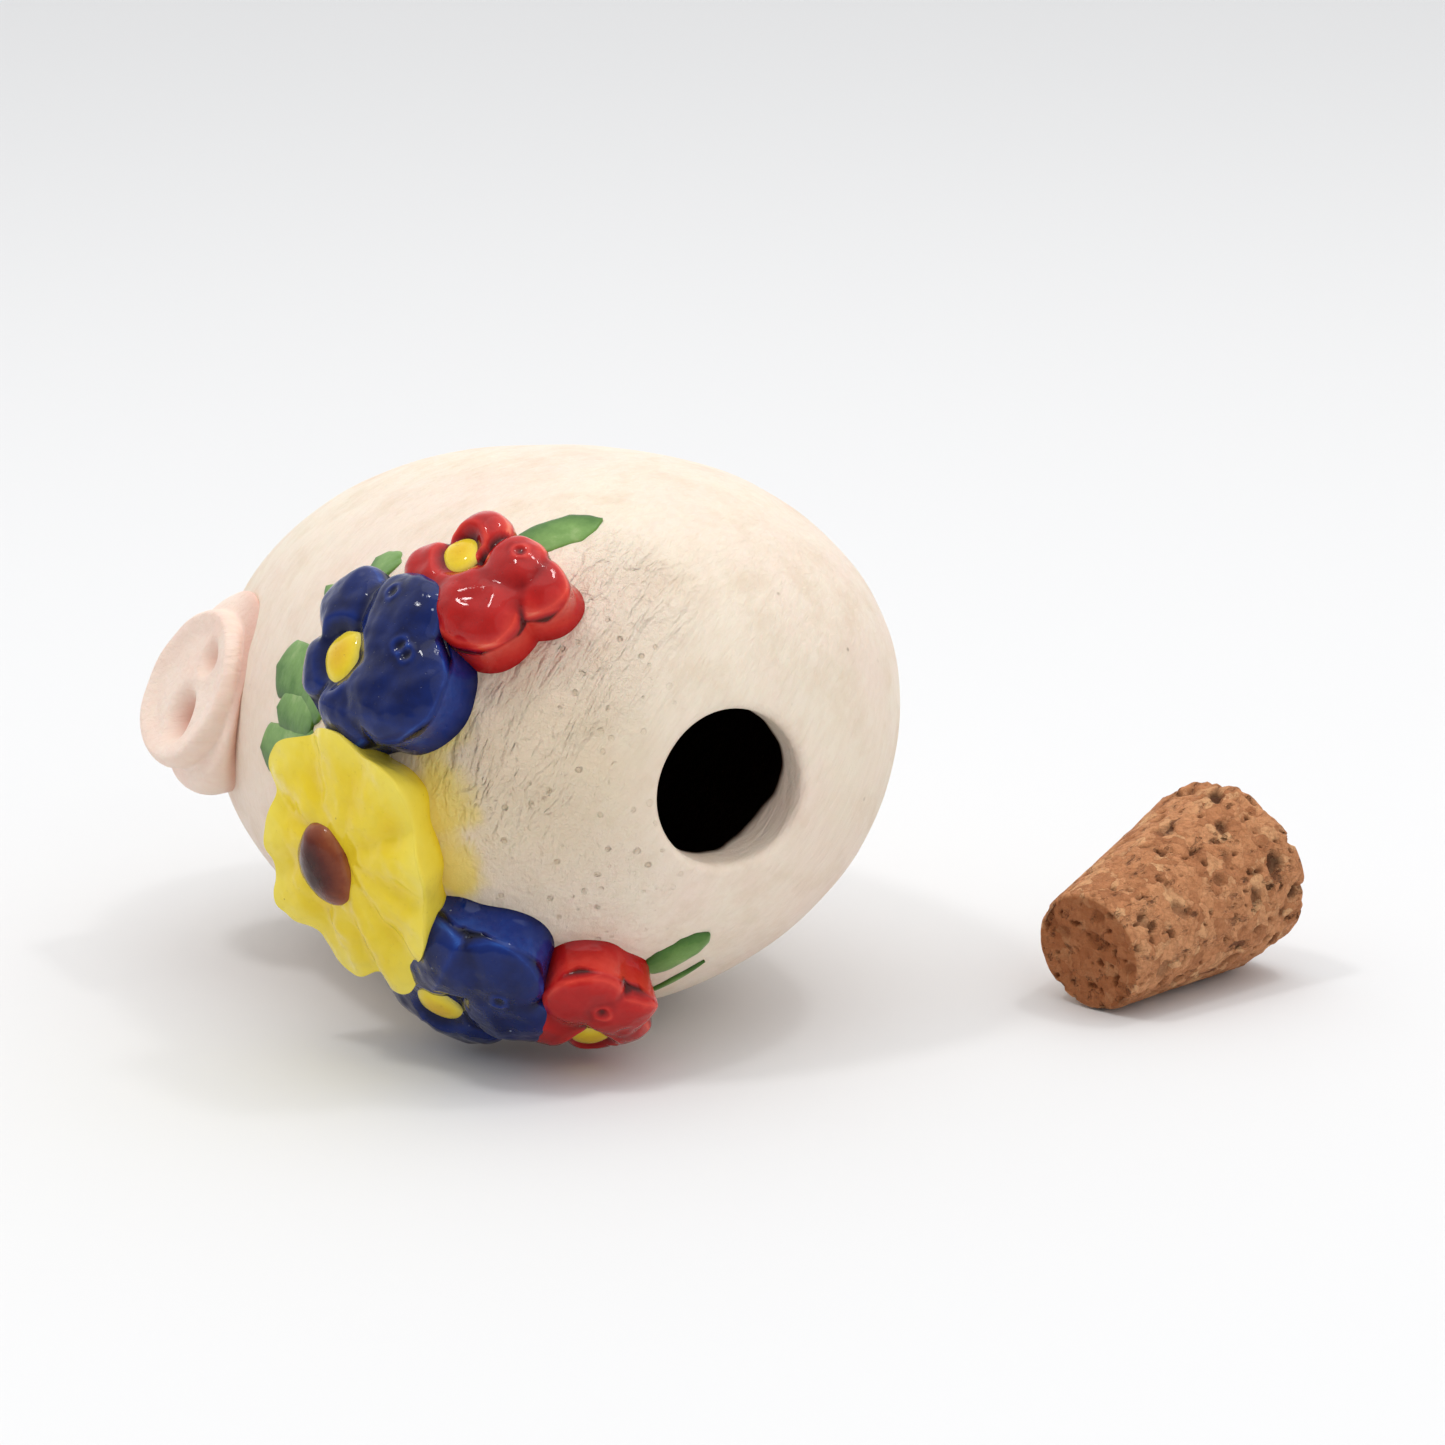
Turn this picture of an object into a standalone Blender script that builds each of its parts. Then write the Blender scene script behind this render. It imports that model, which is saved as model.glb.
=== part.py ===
"""Hand-modelled ceramic egg shaker with a bored mouth, a cork stopper and a flower garland.

Units are metres and +Z is up, with the table at z = 0. The hollow egg lies on its side with
its mouth towards -Y, resting on a small flat and on the two lowest flowers. The cork stopper
lies on the table beside it, and the loose clay pellets lie at the bottom of the chamber.
"""

import math

import bmesh
import bpy
from mathutils import Matrix, Vector

MM = 0.001

# The egg: half sizes from the middle of its belly
MOUTH_SIDE = 30.7 * MM
FAR_SIDE = 47.9 * MM
HALF_WIDTH = 29.5 * MM
HALF_HEIGHT = 25.5 * MM
SQUARENESS = 2.35
WALL = 3.8 * MM

# A broad hand-pressed swell on the egg's upper far side
SWELL_AZIMUTH = math.radians(68.0)
SWELL_POLAR = math.radians(145.0)
SWELL_SHARE = 0.045
SWELL_FOCUS = 6

# Where the egg lies: its middle, its heading from -Y towards +X, its mouth-up tilt and its roll
EGG_CENTRE = Vector((-12.77, -5.92, 26.16)) * MM
EGG_HEADING = math.radians(30.0)
EGG_TILT = math.radians(5.0)
EGG_ROLL = math.radians(-20.0)

# The bored mouth, a little off the egg's axis
MOUTH_RADIUS = 7.55 * MM
MOUTH_LIP = 0.5 * MM
MOUTH_AZIMUTH = math.radians(-44.6)
MOUTH_POLAR = math.radians(2.5)
MOUTH_DROP = math.radians(8.7)

# The snout on the egg's far flank, which faces across the egg's axis
SNOUT_AZIMUTH = math.radians(27.5)
SNOUT_POLAR = math.radians(136.0)
SNOUT_FORWARD = Vector((-0.79, -0.43, 0.43))
SNOUT_RADIUS = 8.9 * MM
SNOUT_HEIGHT = 4.0 * MM
SNOUT_LIP = 3.2 * MM
SNOUT_SIDES = 32

# The cork stopper: two ends, a length and its place on the table
CORK_SMALL_RADIUS = 6.0 * MM
CORK_LARGE_RADIUS = 9.24 * MM
CORK_LENGTH = 22.7 * MM
CORK_EDGE = 0.35 * MM
CORK_CRUMBLE = 0.7 * MM
CORK_HEADING = math.radians(-41.8)
CORK_SMALL_END = (35.97 * MM, -14.20 * MM)

# Loose pellets, each in a lane of its own across the chamber
PELLET_RADIUS = 2.5 * MM
PELLET_LANES = [lane * MM for lane in (22.0, 16.3, 10.6, 4.9, -0.8)]
PELLET_CLEARANCE = 0.35 * MM

# The gap that separate pieces keep from each other
GAP = 0.3 * MM

CREAM = (0.87, 0.79, 0.68)
PINK = (0.87, 0.62, 0.52)
COBALT = (0.01, 0.04, 0.30)
CRIMSON = (0.50, 0.01, 0.012)
YELLOW = (0.90, 0.68, 0.02)
BROWN = (0.11, 0.015, 0.006)
CORK = (0.42, 0.19, 0.08)
BARE_CLAY = (0.55, 0.30, 0.18)

# Blossom sections: share of the outline's radius, and height in mm
DOMED_PETALS = (
    (0.55, 0.0), (0.86, 0.0), (0.98, 1.2), (1.0, 2.8), (0.92, 4.4), (0.72, 5.5), (0.42, 6.0),
)
DISHED_PETALS = (
    (0.55, 0.0), (0.86, 0.0), (0.97, 1.6), (1.0, 3.6), (0.93, 4.6), (0.70, 4.0), (0.42, 3.5),
)

BLOSSOMS = {
    # name: azimuth, polar (degrees), radius (mm), petals, spin (degrees), section, colour
    "red_blossom_top": (60.5, 52.0, 7.5, 5, 20.0, DOMED_PETALS, CRIMSON),
    "blue_blossom_top": (42.0, 66.5, 9.4, 5, 10.0, DOMED_PETALS, COBALT),
    "yellow_blossom": (7.7, 70.5, 11.6, 8, 0.0, DISHED_PETALS, YELLOW),
    "blue_blossom_bottom": (-20.5, 62.5, 10.0, 5, 40.0, DOMED_PETALS, COBALT),
    "red_blossom_bottom": (-41.5, 48.5, 6.7, 5, 0.0, DOMED_PETALS, CRIMSON),
}
# name: radius and height in mm, colour
CENTRES = {
    "red_blossom_top": (1.9, 1.0, YELLOW),
    "blue_blossom_top": (2.3, 1.0, YELLOW),
    "yellow_blossom": (3.9, 2.8, BROWN),
    "blue_blossom_bottom": (2.5, 1.0, YELLOW),
    "red_blossom_bottom": (2.1, 1.0, YELLOW),
}
NEIGHBOUR_SHARE = {
    # the share of the way from the first blossom to the second where they meet
    ("yellow_blossom", "blue_blossom_top"): 0.55,
    ("yellow_blossom", "blue_blossom_bottom"): 0.56,
    ("blue_blossom_top", "red_blossom_top"): 0.56,
    ("blue_blossom_bottom", "red_blossom_bottom"): 0.56,
}
BLOSSOM_SIDES = 40
NOTCH = 0.20
FENCE_MARGIN = 0.25 * MM


def clear_scene():
    for old in list(bpy.data.objects):
        bpy.data.objects.remove(old, do_unlink=True)


def finish(name, colour, roughness):
    material = bpy.data.materials.new(name)
    material.use_nodes = True
    shader = material.node_tree.nodes["Principled BSDF"]
    shader.inputs["Base Color"].default_value = (*colour, 1.0)
    shader.inputs["Roughness"].default_value = roughness
    shader.inputs["Metallic"].default_value = 0.0
    return material


def loft(name, rings, material=None):
    """A closed solid through a list of rings of points. A ring of one point closes an end."""
    mesh_data = bmesh.new()
    layers = [[mesh_data.verts.new(point) for point in ring] for ring in rings]
    for below, above in zip(layers, layers[1:]):
        count = max(len(below), len(above))
        for i in range(count):
            j = (i + 1) % count
            corners = [below[i % len(below)], below[j % len(below)]]
            corners += [above[j % len(above)], above[i % len(above)]]
            mesh_data.faces.new(list(dict.fromkeys(corners)))
    bmesh.ops.recalc_face_normals(mesh_data, faces=mesh_data.faces)
    mesh = bpy.data.meshes.new(name)
    mesh_data.to_mesh(mesh)
    mesh_data.free()
    mesh.shade_smooth()
    mesh.set_sharp_from_angle(angle=math.radians(40.0))
    made = bpy.data.objects.new(name, mesh)
    bpy.context.collection.objects.link(made)
    if material is not None:
        mesh.materials.append(material)
    return made


def as_cutter(cutter):
    cutter.hide_render = True
    cutter.display_type = "WIRE"
    return cutter


def cut(target, cutter):
    boolean = target.modifiers.new(cutter.name, "BOOLEAN")
    boolean.operation = "DIFFERENCE"
    boolean.solver = "EXACT"
    boolean.object = cutter


# ---- the egg's own frame: x out of its front, y up its height, z towards its far end ----

def egg_frame():
    axis = Vector((
        math.sin(EGG_HEADING) * math.cos(EGG_TILT),
        -math.cos(EGG_HEADING) * math.cos(EGG_TILT),
        math.sin(EGG_TILT),
    ))
    far_end = -axis
    front = axis.cross(Vector((0.0, 0.0, 1.0))).normalized()
    front = Matrix.Rotation(EGG_ROLL, 3, far_end) @ front
    turn = Matrix((front, far_end.cross(front), far_end)).transposed()
    return Matrix.Translation(EGG_CENTRE) @ turn.to_4x4()


def direction(azimuth, polar):
    """Unit vector at an angle polar from the mouth and azimuth round the egg's axis."""
    spread = math.sin(polar)
    return Vector((spread * math.cos(azimuth), spread * math.sin(azimuth), -math.cos(polar)))


SWELL = direction(SWELL_AZIMUTH, SWELL_POLAR)


def egg_value(point, inset=0.0):
    """1 on the egg's skin, less inside. inset moves the skin inwards."""
    towards_swell = max(0.0, point.normalized().dot(SWELL))
    point = point / (1.0 + SWELL_SHARE * towards_swell ** SWELL_FOCUS)
    half_length = (FAR_SIDE if point.z > 0.0 else MOUTH_SIDE) - inset
    across = math.hypot(point.x / (HALF_WIDTH - inset), point.y / (HALF_HEIGHT - inset))
    return (abs(point.z) / half_length) ** SQUARENESS + across ** SQUARENESS


def on_skin(point, inset=0.0):
    return point * egg_value(point, inset) ** (-1.0 / SQUARENESS)


def skin_normal(point):
    step = 0.01 * MM
    slope = [
        egg_value(point + side * step) - egg_value(point - side * step)
        for side in (Vector((1, 0, 0)), Vector((0, 1, 0)), Vector((0, 0, 1)))
    ]
    return Vector(slope).normalized()


def circle(count):
    return [2.0 * math.pi * i / count for i in range(count)]


def egg_rings(segments, layers, inset):
    rings = [[on_skin(direction(0.0, 0.0), inset)]]
    for layer in range(1, layers):
        polar = math.pi * layer / layers
        rings.append([on_skin(direction(turn, polar), inset) for turn in circle(segments)])
    rings.append([on_skin(direction(0.0, math.pi), inset)])
    return rings


class SkinPatch:
    """A flat sketch plane that touches the egg, whose points are carried onto the skin."""

    def __init__(self, azimuth, polar):
        self.centre = on_skin(direction(azimuth, polar))
        self.normal = skin_normal(self.centre)
        far_end = Vector((0.0, 0.0, 1.0))
        self.along = (far_end - self.normal * far_end.dot(self.normal)).normalized()
        self.side = self.normal.cross(self.along)

    def flat(self, x, y):
        return self.centre + self.along * x + self.side * y

    def lift(self, x, y, height):
        skin = on_skin(self.flat(x, y))
        return skin + skin_normal(skin) * (GAP + height)


# ---- the pieces ----

def make_table_cutter():
    """Everything under the table's top, which trims the flat that the egg rests on."""
    half, depth = 80.0 * MM, 10.0 * MM
    corners = [(-half, -half), (half, -half), (half, half), (-half, half)]
    rings = [[Vector((x, y, z)) for x, y in corners] for z in (-depth, 0.0)]
    rings.insert(0, [Vector((0.0, 0.0, -depth))])
    rings.append([Vector((0.0, 0.0, 0.0))])
    return as_cutter(loft("table_cutter", rings))


def mouth_axis(egg):
    """The bore's outward direction in the egg's frame: level with the heading, tipped down."""
    level = Vector((
        math.sin(EGG_HEADING) * math.cos(EGG_TILT - MOUTH_DROP),
        -math.cos(EGG_HEADING) * math.cos(EGG_TILT - MOUTH_DROP),
        math.sin(EGG_TILT - MOUTH_DROP),
    ))
    return (egg.to_3x3().inverted() @ level).normalized()


def make_shell(egg):
    """The hollow egg, open at its bored mouth and rubbed flat where it rests."""
    shell = loft("shell", egg_rings(52, 26, 0.0), finish("cream_slip", CREAM, 0.55))
    chamber = as_cutter(loft("chamber_cutter", egg_rings(36, 18, WALL)))
    chamber.matrix_world = egg
    shell.matrix_world = egg
    cut(shell, chamber)

    axis = mouth_axis(egg)
    centre = on_skin(direction(MOUTH_AZIMUTH, MOUTH_POLAR))
    across = axis.orthogonal().normalized()
    other = axis.cross(across)
    stations = [
        (-9.0 * MM, MOUTH_RADIUS),
        (-0.6 * MM, MOUTH_RADIUS),
        (0.4 * MM, MOUTH_RADIUS + MOUTH_LIP),
        (6.0 * MM, MOUTH_RADIUS + 3.0 * MOUTH_LIP),
    ]
    rings = [[centre + axis * stations[0][0]]]
    for along, radius in stations:
        rings.append([
            centre + axis * along + (across * math.cos(turn) + other * math.sin(turn)) * radius
            for turn in circle(36)
        ])
    rings.append([centre + axis * stations[-1][0]])
    bore = as_cutter(loft("mouth_cutter", rings))
    bore.matrix_world = egg
    cut(shell, bore)
    cut(shell, make_table_cutter())
    return shell


def make_snout(egg):
    """A round nose pad luted to the egg, with a raised rim, two nostrils and a lip below."""
    patch = SkinPatch(SNOUT_AZIMUTH, SNOUT_POLAR)
    forward = (egg.to_3x3().inverted() @ SNOUT_FORWARD).normalized()
    along = Vector((0.0, 0.0, 1.0))
    along = (along - forward * along.dot(forward)).normalized()
    below = forward.cross(along)
    pad = patch.centre + forward * SNOUT_HEIGHT

    def base(turn, scale):
        lip = max(0.0, math.sin(turn)) ** 2 * SNOUT_LIP
        reach = (SNOUT_RADIUS - 0.5 * MM + lip) * scale
        return patch.lift(reach * math.cos(turn), reach * math.sin(turn), 0.0)

    def front(turn, scale, depth):
        offset = along * math.cos(turn) + below * math.sin(turn)
        return pad + offset * scale * SNOUT_RADIUS - forward * depth

    turns = circle(SNOUT_SIDES)
    rings = [[patch.lift(0.0, 0.0, 0.0)]]
    rings += [[base(turn, scale) for turn in turns] for scale in (0.55, 1.0)]
    rings += [
        [base(turn, 1.0).lerp(front(turn, 1.0, 0.7 * MM), share) for turn in turns]
        for share in (0.35, 0.7, 1.0)
    ]
    stations = ((0.97, 0.15), (0.89, 0.0), (0.80, 0.35), (0.70, 0.75))
    rings += [[front(turn, scale, depth * MM) for turn in turns] for scale, depth in stations]
    rings.append([front(0.0, 0.0, 0.5 * MM)])
    snout = loft("snout", rings, finish("pink_slip", PINK, 0.55))
    snout.matrix_world = egg
    nostril_line = (below * 0.97 - along * 0.24).normalized()
    for number, reach in enumerate((2.9, -3.1)):
        pit = pad + nostril_line * reach * MM - forward * 0.6 * MM
        pits = [[pit - forward * 1.4 * MM]]
        for lift, radius in ((-1.1, 0.9), (-0.3, 1.4), (0.6, 1.7), (1.6, 1.8)):
            pits.append([
                pit + forward * lift * MM
                + (along * 0.8 * math.cos(turn) + below * math.sin(turn)) * radius * MM
                for turn in circle(14)
            ])
        pits.append([pit + forward * 1.6 * MM])
        nostril = as_cutter(loft(f"nostril_cutter_{number + 1}", pits))
        nostril.matrix_world = egg
        cut(snout, nostril)
    return snout


def blossom_patch(name):
    azimuth, polar = BLOSSOMS[name][:2]
    return SkinPatch(math.radians(azimuth), math.radians(polar))


def fences(name):
    """Planes through the egg's middle that keep a blossom apart from those beside it."""
    planes = []
    own = blossom_patch(name).centre.normalized()
    for (first, second), share in NEIGHBOUR_SHARE.items():
        if name not in (first, second):
            continue
        start = blossom_patch(first).centre.normalized()
        end = blossom_patch(second).centre.normalized()
        meeting = start.lerp(end, share).normalized()
        plane = end - start
        plane = (plane - meeting * plane.dot(meeting)).normalized()
        planes.append(plane if plane.dot(own) < 0.0 else -plane)
    return planes


def outline(name, patch):
    """The blossom's lobed outline on its sketch plane, as a radius for each turn."""
    radius, petals, spin = BLOSSOMS[name][2:5]
    planes = fences(name)
    radii = []
    for turn in circle(BLOSSOM_SIDES):
        notch = ((1.0 - math.cos(petals * turn - math.radians(spin))) / 2.0) ** 2
        reach = radius * MM * (1.0 - NOTCH * notch)
        ray = patch.along * math.cos(turn) + patch.side * math.sin(turn)
        for plane in planes:
            towards = plane.dot(ray)
            if towards > 0.0:
                reach = min(reach, -plane.dot(patch.centre) / towards - FENCE_MARGIN / towards)
        radii.append(reach)
    return radii


def seat_height(name):
    return BLOSSOMS[name][5][-1][1] * MM


def make_blossom(name, egg):
    patch = blossom_patch(name)
    radii = outline(name, patch)
    section, colour = BLOSSOMS[name][5:]
    widest = BLOSSOMS[name][2] * MM
    rings = [[patch.lift(0.0, 0.0, 0.0)]]
    for share, height in section:
        ring = []
        for turn, reach in zip(circle(BLOSSOM_SIDES), radii):
            spread = share * reach
            if share < 0.5:
                spread = share * min(widest, 1.6 * reach)
            ring.append(patch.lift(spread * math.cos(turn), spread * math.sin(turn), height * MM))
        rings.append(ring)
    rings.append([patch.lift(0.0, 0.0, seat_height(name))])
    blossom = loft(name, rings, finish(name, colour, 0.15))
    blossom.matrix_world = egg
    return blossom


def make_centre(name, egg):
    """A pressed button of clay on the blossom's seat."""
    patch = blossom_patch(name)
    radius, height, colour = CENTRES[name]
    foot = seat_height(name) + GAP
    rings = [[patch.lift(0.0, 0.0, foot)]]
    for share, rise in ((0.92, 0.0), (1.0, 0.30), (0.86, 0.66), (0.5, 0.93)):
        rings.append([
            patch.lift(
                share * radius * MM * math.cos(turn),
                share * radius * MM * math.sin(turn),
                foot + rise * height * MM,
            )
            for turn in circle(18)
        ])
    rings.append([patch.lift(0.0, 0.0, foot + height * MM)])
    centre = loft(f"{name}_centre", rings, finish(f"{name}_centre", colour, 0.15))
    centre.matrix_world = egg
    return centre


def make_pellet(number, lane, egg):
    """A ball at the lowest point of its lane, with its origin on the egg's axis."""
    axis = egg.to_3x3() @ Vector((0.0, 0.0, 1.0))
    fall = Vector((0.0, 0.0, -1.0))
    fall = (fall - axis * fall.dot(axis)).normalized()
    half_length = (FAR_SIDE if lane > 0.0 else MOUTH_SIDE) - WALL
    narrowing = (1.0 - (abs(lane) / half_length) ** SQUARENESS) ** (1.0 / SQUARENESS)
    reach = (HALF_HEIGHT - WALL) * narrowing - PELLET_RADIUS - PELLET_CLEARANCE
    reach -= 0.06 * abs(lane)
    middle = fall * reach
    sides, layers = 12, 8
    rings = [[middle + Vector((0.0, 0.0, -PELLET_RADIUS))]]
    for layer in range(1, layers):
        polar = math.pi * layer / layers
        rings.append([
            middle + Vector((
                PELLET_RADIUS * math.sin(polar) * math.cos(turn),
                PELLET_RADIUS * math.sin(polar) * math.sin(turn),
                -PELLET_RADIUS * math.cos(polar),
            ))
            for turn in circle(sides)
        ])
    rings.append([middle + Vector((0.0, 0.0, PELLET_RADIUS))])
    pellet = loft(f"pellet_{number}", rings, finish(f"bare_clay_{number}", BARE_CLAY, 0.9))
    pellet.location = EGG_CENTRE + axis * lane
    return pellet


def make_stopper():
    """A tapered cork on its side, with a crumbled large end."""
    taper = math.atan((CORK_LARGE_RADIUS - CORK_SMALL_RADIUS) / CORK_LENGTH)
    sides = 36
    stations = (
        (0.0, CORK_SMALL_RADIUS - CORK_EDGE, 0.0),
        (CORK_EDGE, CORK_SMALL_RADIUS, 0.0),
        (0.35 * CORK_LENGTH, None, 0.0),
        (0.70 * CORK_LENGTH, None, 0.0),
        (0.88 * CORK_LENGTH, None, 0.35),
        (0.985 * CORK_LENGTH, CORK_LARGE_RADIUS - 0.9 * MM, 1.0),
        (1.0 * CORK_LENGTH, 0.72 * CORK_LARGE_RADIUS, 0.8),
    )
    rings = [[Vector((0.0, 0.0, 0.0))]]
    for along, radius, crumble in stations:
        if radius is None:
            grown = (CORK_LARGE_RADIUS - CORK_SMALL_RADIUS) * along / CORK_LENGTH
            radius = CORK_SMALL_RADIUS + grown
        ring = []
        for turn in circle(sides):
            chip = 0.5 + 0.5 * math.sin(3.0 * turn + 0.7) * math.sin(7.0 * turn + 2.0)
            lost = crumble * CORK_CRUMBLE * chip
            size = radius - lost
            ring.append(Vector((size * math.cos(turn), size * math.sin(turn), along - lost)))
        rings.append(ring)
    rings.append([Vector((0.0, 0.0, CORK_LENGTH - 0.5 * MM))])
    stopper = loft("stopper", rings, finish("cork", CORK, 0.9))
    heading = Vector((math.sin(CORK_HEADING), -math.cos(CORK_HEADING), 0.0))
    nose = (heading * math.cos(taper) - Vector((0.0, 0.0, 1.0)) * math.sin(taper)).normalized()
    side = nose.cross(Vector((0.0, 0.0, 1.0))).normalized()
    turn = Matrix((side, (-nose).cross(side), -nose)).transposed()
    height = CORK_SMALL_RADIUS * math.cos(taper) + 0.02 * MM
    stopper.matrix_world = Matrix.Translation((*CORK_SMALL_END, height)) @ turn.to_4x4()
    return stopper


def main():
    clear_scene()
    egg = egg_frame()
    make_shell(egg)
    make_snout(egg)
    for name in BLOSSOMS:
        make_blossom(name, egg)
        make_centre(name, egg)
    for number, lane in enumerate(PELLET_LANES, start=1):
        make_pellet(number, lane, egg)
    make_stopper()


main()
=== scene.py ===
"""Looks of the hand-modelled ceramic egg shaker, its cork stopper and its flower garland.

Everything is in metres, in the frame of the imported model. The egg's own frame has x out of its
front, y up its height and z towards its far end, with its mouth on the -z side.
"""

import math

import bpy
import numpy as np
from mathutils import Matrix, Vector, noise


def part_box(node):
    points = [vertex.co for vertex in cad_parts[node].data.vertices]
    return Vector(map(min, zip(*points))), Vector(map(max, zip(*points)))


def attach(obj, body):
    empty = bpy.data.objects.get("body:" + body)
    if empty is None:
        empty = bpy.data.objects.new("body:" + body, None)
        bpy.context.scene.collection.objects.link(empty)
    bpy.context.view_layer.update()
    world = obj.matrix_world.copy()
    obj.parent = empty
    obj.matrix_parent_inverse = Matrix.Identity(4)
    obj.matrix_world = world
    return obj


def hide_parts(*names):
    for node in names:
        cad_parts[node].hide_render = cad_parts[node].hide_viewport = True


MM = 0.001
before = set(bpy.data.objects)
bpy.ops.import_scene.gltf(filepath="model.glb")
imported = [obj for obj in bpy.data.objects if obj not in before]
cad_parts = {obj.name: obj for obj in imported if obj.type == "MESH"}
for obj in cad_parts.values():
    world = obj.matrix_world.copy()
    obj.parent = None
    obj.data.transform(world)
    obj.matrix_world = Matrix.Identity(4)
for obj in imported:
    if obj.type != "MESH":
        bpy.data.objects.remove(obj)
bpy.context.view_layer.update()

# ---------------- the egg, as it was designed

MOUTH_SIDE = 30.7 * MM
FAR_SIDE = 47.9 * MM
HALF_WIDTH = 29.5 * MM
HALF_HEIGHT = 25.5 * MM
SQUARENESS = 2.35
WALL = 3.8 * MM
SWELL_SHARE = 0.045
SWELL_FOCUS = 6
EGG_CENTRE = np.array([-12.77, -5.92, 26.16]) * MM
EGG_HEADING = math.radians(30.0)
EGG_TILT = math.radians(5.0)
EGG_ROLL = math.radians(-20.0)
MOUTH_RADIUS = 7.55 * MM
MOUTH_AZIMUTH = -44.6
MOUTH_POLAR = 2.5
MOUTH_DROP = math.radians(8.7)
SNOUT_FORWARD = np.array([-0.79, -0.43, 0.43])


def unit(v):
    v = np.asarray(v, dtype=float)
    return v / np.linalg.norm(v, axis=-1, keepdims=True)


def direction(azimuth, polar):
    """Unit vector (degrees), polar from the mouth and azimuth round the egg's axis."""
    azimuth, polar = np.radians(azimuth), np.radians(polar)
    spread = np.sin(polar)
    parts = (spread * np.cos(azimuth), spread * np.sin(azimuth), -np.cos(polar))
    return np.stack(np.broadcast_arrays(*parts), axis=-1)


def heading_vector(tilt):
    """Unit vector the way the mouth looks, raised by tilt."""
    return np.array([
        math.sin(EGG_HEADING) * math.cos(tilt),
        -math.cos(EGG_HEADING) * math.cos(tilt),
        math.sin(tilt),
    ])


def egg_axes():
    """Columns: the egg's front, height and far end in the row frame."""
    far_end = Vector(-heading_vector(EGG_TILT))
    front = (-far_end).cross(Vector((0.0, 0.0, 1.0))).normalized()
    front = Matrix.Rotation(EGG_ROLL, 3, far_end) @ front
    return np.array([front, far_end.cross(front), far_end]).T


EGG_AXES = egg_axes()
SWELL = direction(68.0, 145.0)


def to_row(points):
    """Points of the egg's own frame in the row frame."""
    return EGG_CENTRE + np.asarray(points) @ EGG_AXES.T


def to_egg_vector(vector):
    """A row-frame direction in the egg's own frame."""
    return np.asarray(vector) @ EGG_AXES


def egg_value(p, inset=0.0):
    """1 on the egg's skin, less inside."""
    towards = np.clip(unit(p) @ SWELL, 0.0, None)
    p = p / (1.0 + SWELL_SHARE * towards ** SWELL_FOCUS)[..., None]
    half_length = np.where(p[..., 2] > 0.0, FAR_SIDE, MOUTH_SIDE) - inset
    across = np.hypot(p[..., 0] / (HALF_WIDTH - inset), p[..., 1] / (HALF_HEIGHT - inset))
    return (np.abs(p[..., 2]) / half_length) ** SQUARENESS + across ** SQUARENESS


def on_skin(p, inset=0.0):
    """Slides points along their rays from the middle onto the skin, or inset metres inside it."""
    p = np.asarray(p, dtype=float)
    return p * (egg_value(p, inset) ** (-1.0 / SQUARENESS))[..., None]


def skin_normal(p):
    """The way the skin faces at points on it."""
    step = 0.02 * MM
    slopes = [egg_value(p + side * step) - egg_value(p - side * step) for side in np.eye(3)]
    return unit(np.stack(slopes, axis=-1))


def wobble(points, size, seed):
    """Smooth noise from -1 to 1 at each point, whose features are about size across."""
    shift = Vector((seed * 7.31, seed * 3.17, seed * 5.53))
    flat = np.asarray(points).reshape(-1, 3) / size
    values = np.array([noise.noise(Vector(p) + shift) for p in flat])
    return values.reshape(np.asarray(points).shape[:-1])


def worked_skin(p):
    """The egg's skin with the shallow hollows that fingers left in the clay."""
    skin = on_skin(p)
    hollows = 0.32 * MM * wobble(skin, 17.0 * MM, 1) + 0.12 * MM * wobble(skin, 6.0 * MM, 2)
    return skin + unit(skin) * hollows[..., None]


def smooth(edge0, edge1, x):
    """0 at edge0 to 1 at edge1, easing in and out."""
    s = np.clip((np.asarray(x) - edge0) / (edge1 - edge0), 0.0, 1.0)
    return s * s * (3.0 - 2.0 * s)


def circle(count):
    """count turns round a circle, in radians."""
    return np.arange(count) * (2.0 * math.pi / count)


# ---------------- meshes

def loft(name, rings, body, attributes=None):
    """A closed surface through rings of row-frame points. A ring of one point closes an end.

    attributes maps a name to one array of values for each ring.
    """
    points = np.concatenate([np.asarray(ring).reshape(-1, 3) for ring in rings])
    counts = [len(np.asarray(ring).reshape(-1, 3)) for ring in rings]
    starts = np.cumsum([0] + counts[:-1])
    faces = []
    for k in range(len(rings) - 1):
        a, b, na, nb = starts[k], starts[k + 1], counts[k], counts[k + 1]
        for i in range(max(na, nb)):
            j = (i + 1) % max(na, nb)
            if na == 1:
                faces.append((a, b + j, b + i))
            elif nb == 1:
                faces.append((a + i, a + j, b))
            else:
                faces.append((a + i, a + j, b + j, b + i))
    return mesh_piece(name, points, faces, body, attributes)


def mesh_piece(name, points, faces, body, attributes=None):
    """A smooth-shaded piece that rides a body, with its faces turned outwards."""
    mesh = bpy.data.meshes.new(name)
    mesh.from_pydata([tuple(p) for p in points], [], faces)
    if signed_volume(mesh) < 0.0:
        mesh.flip_normals()
    mesh.shade_smooth()
    for key, rows in (attributes or {}).items():
        layer = mesh.attributes.new(key, "FLOAT", "POINT")
        values = np.concatenate([np.asarray(row, dtype=float).reshape(-1) for row in rows])
        layer.data.foreach_set("value", values)
    made = bpy.data.objects.new(name, mesh)
    bpy.context.collection.objects.link(made)
    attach(made, body)
    return made


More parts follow.
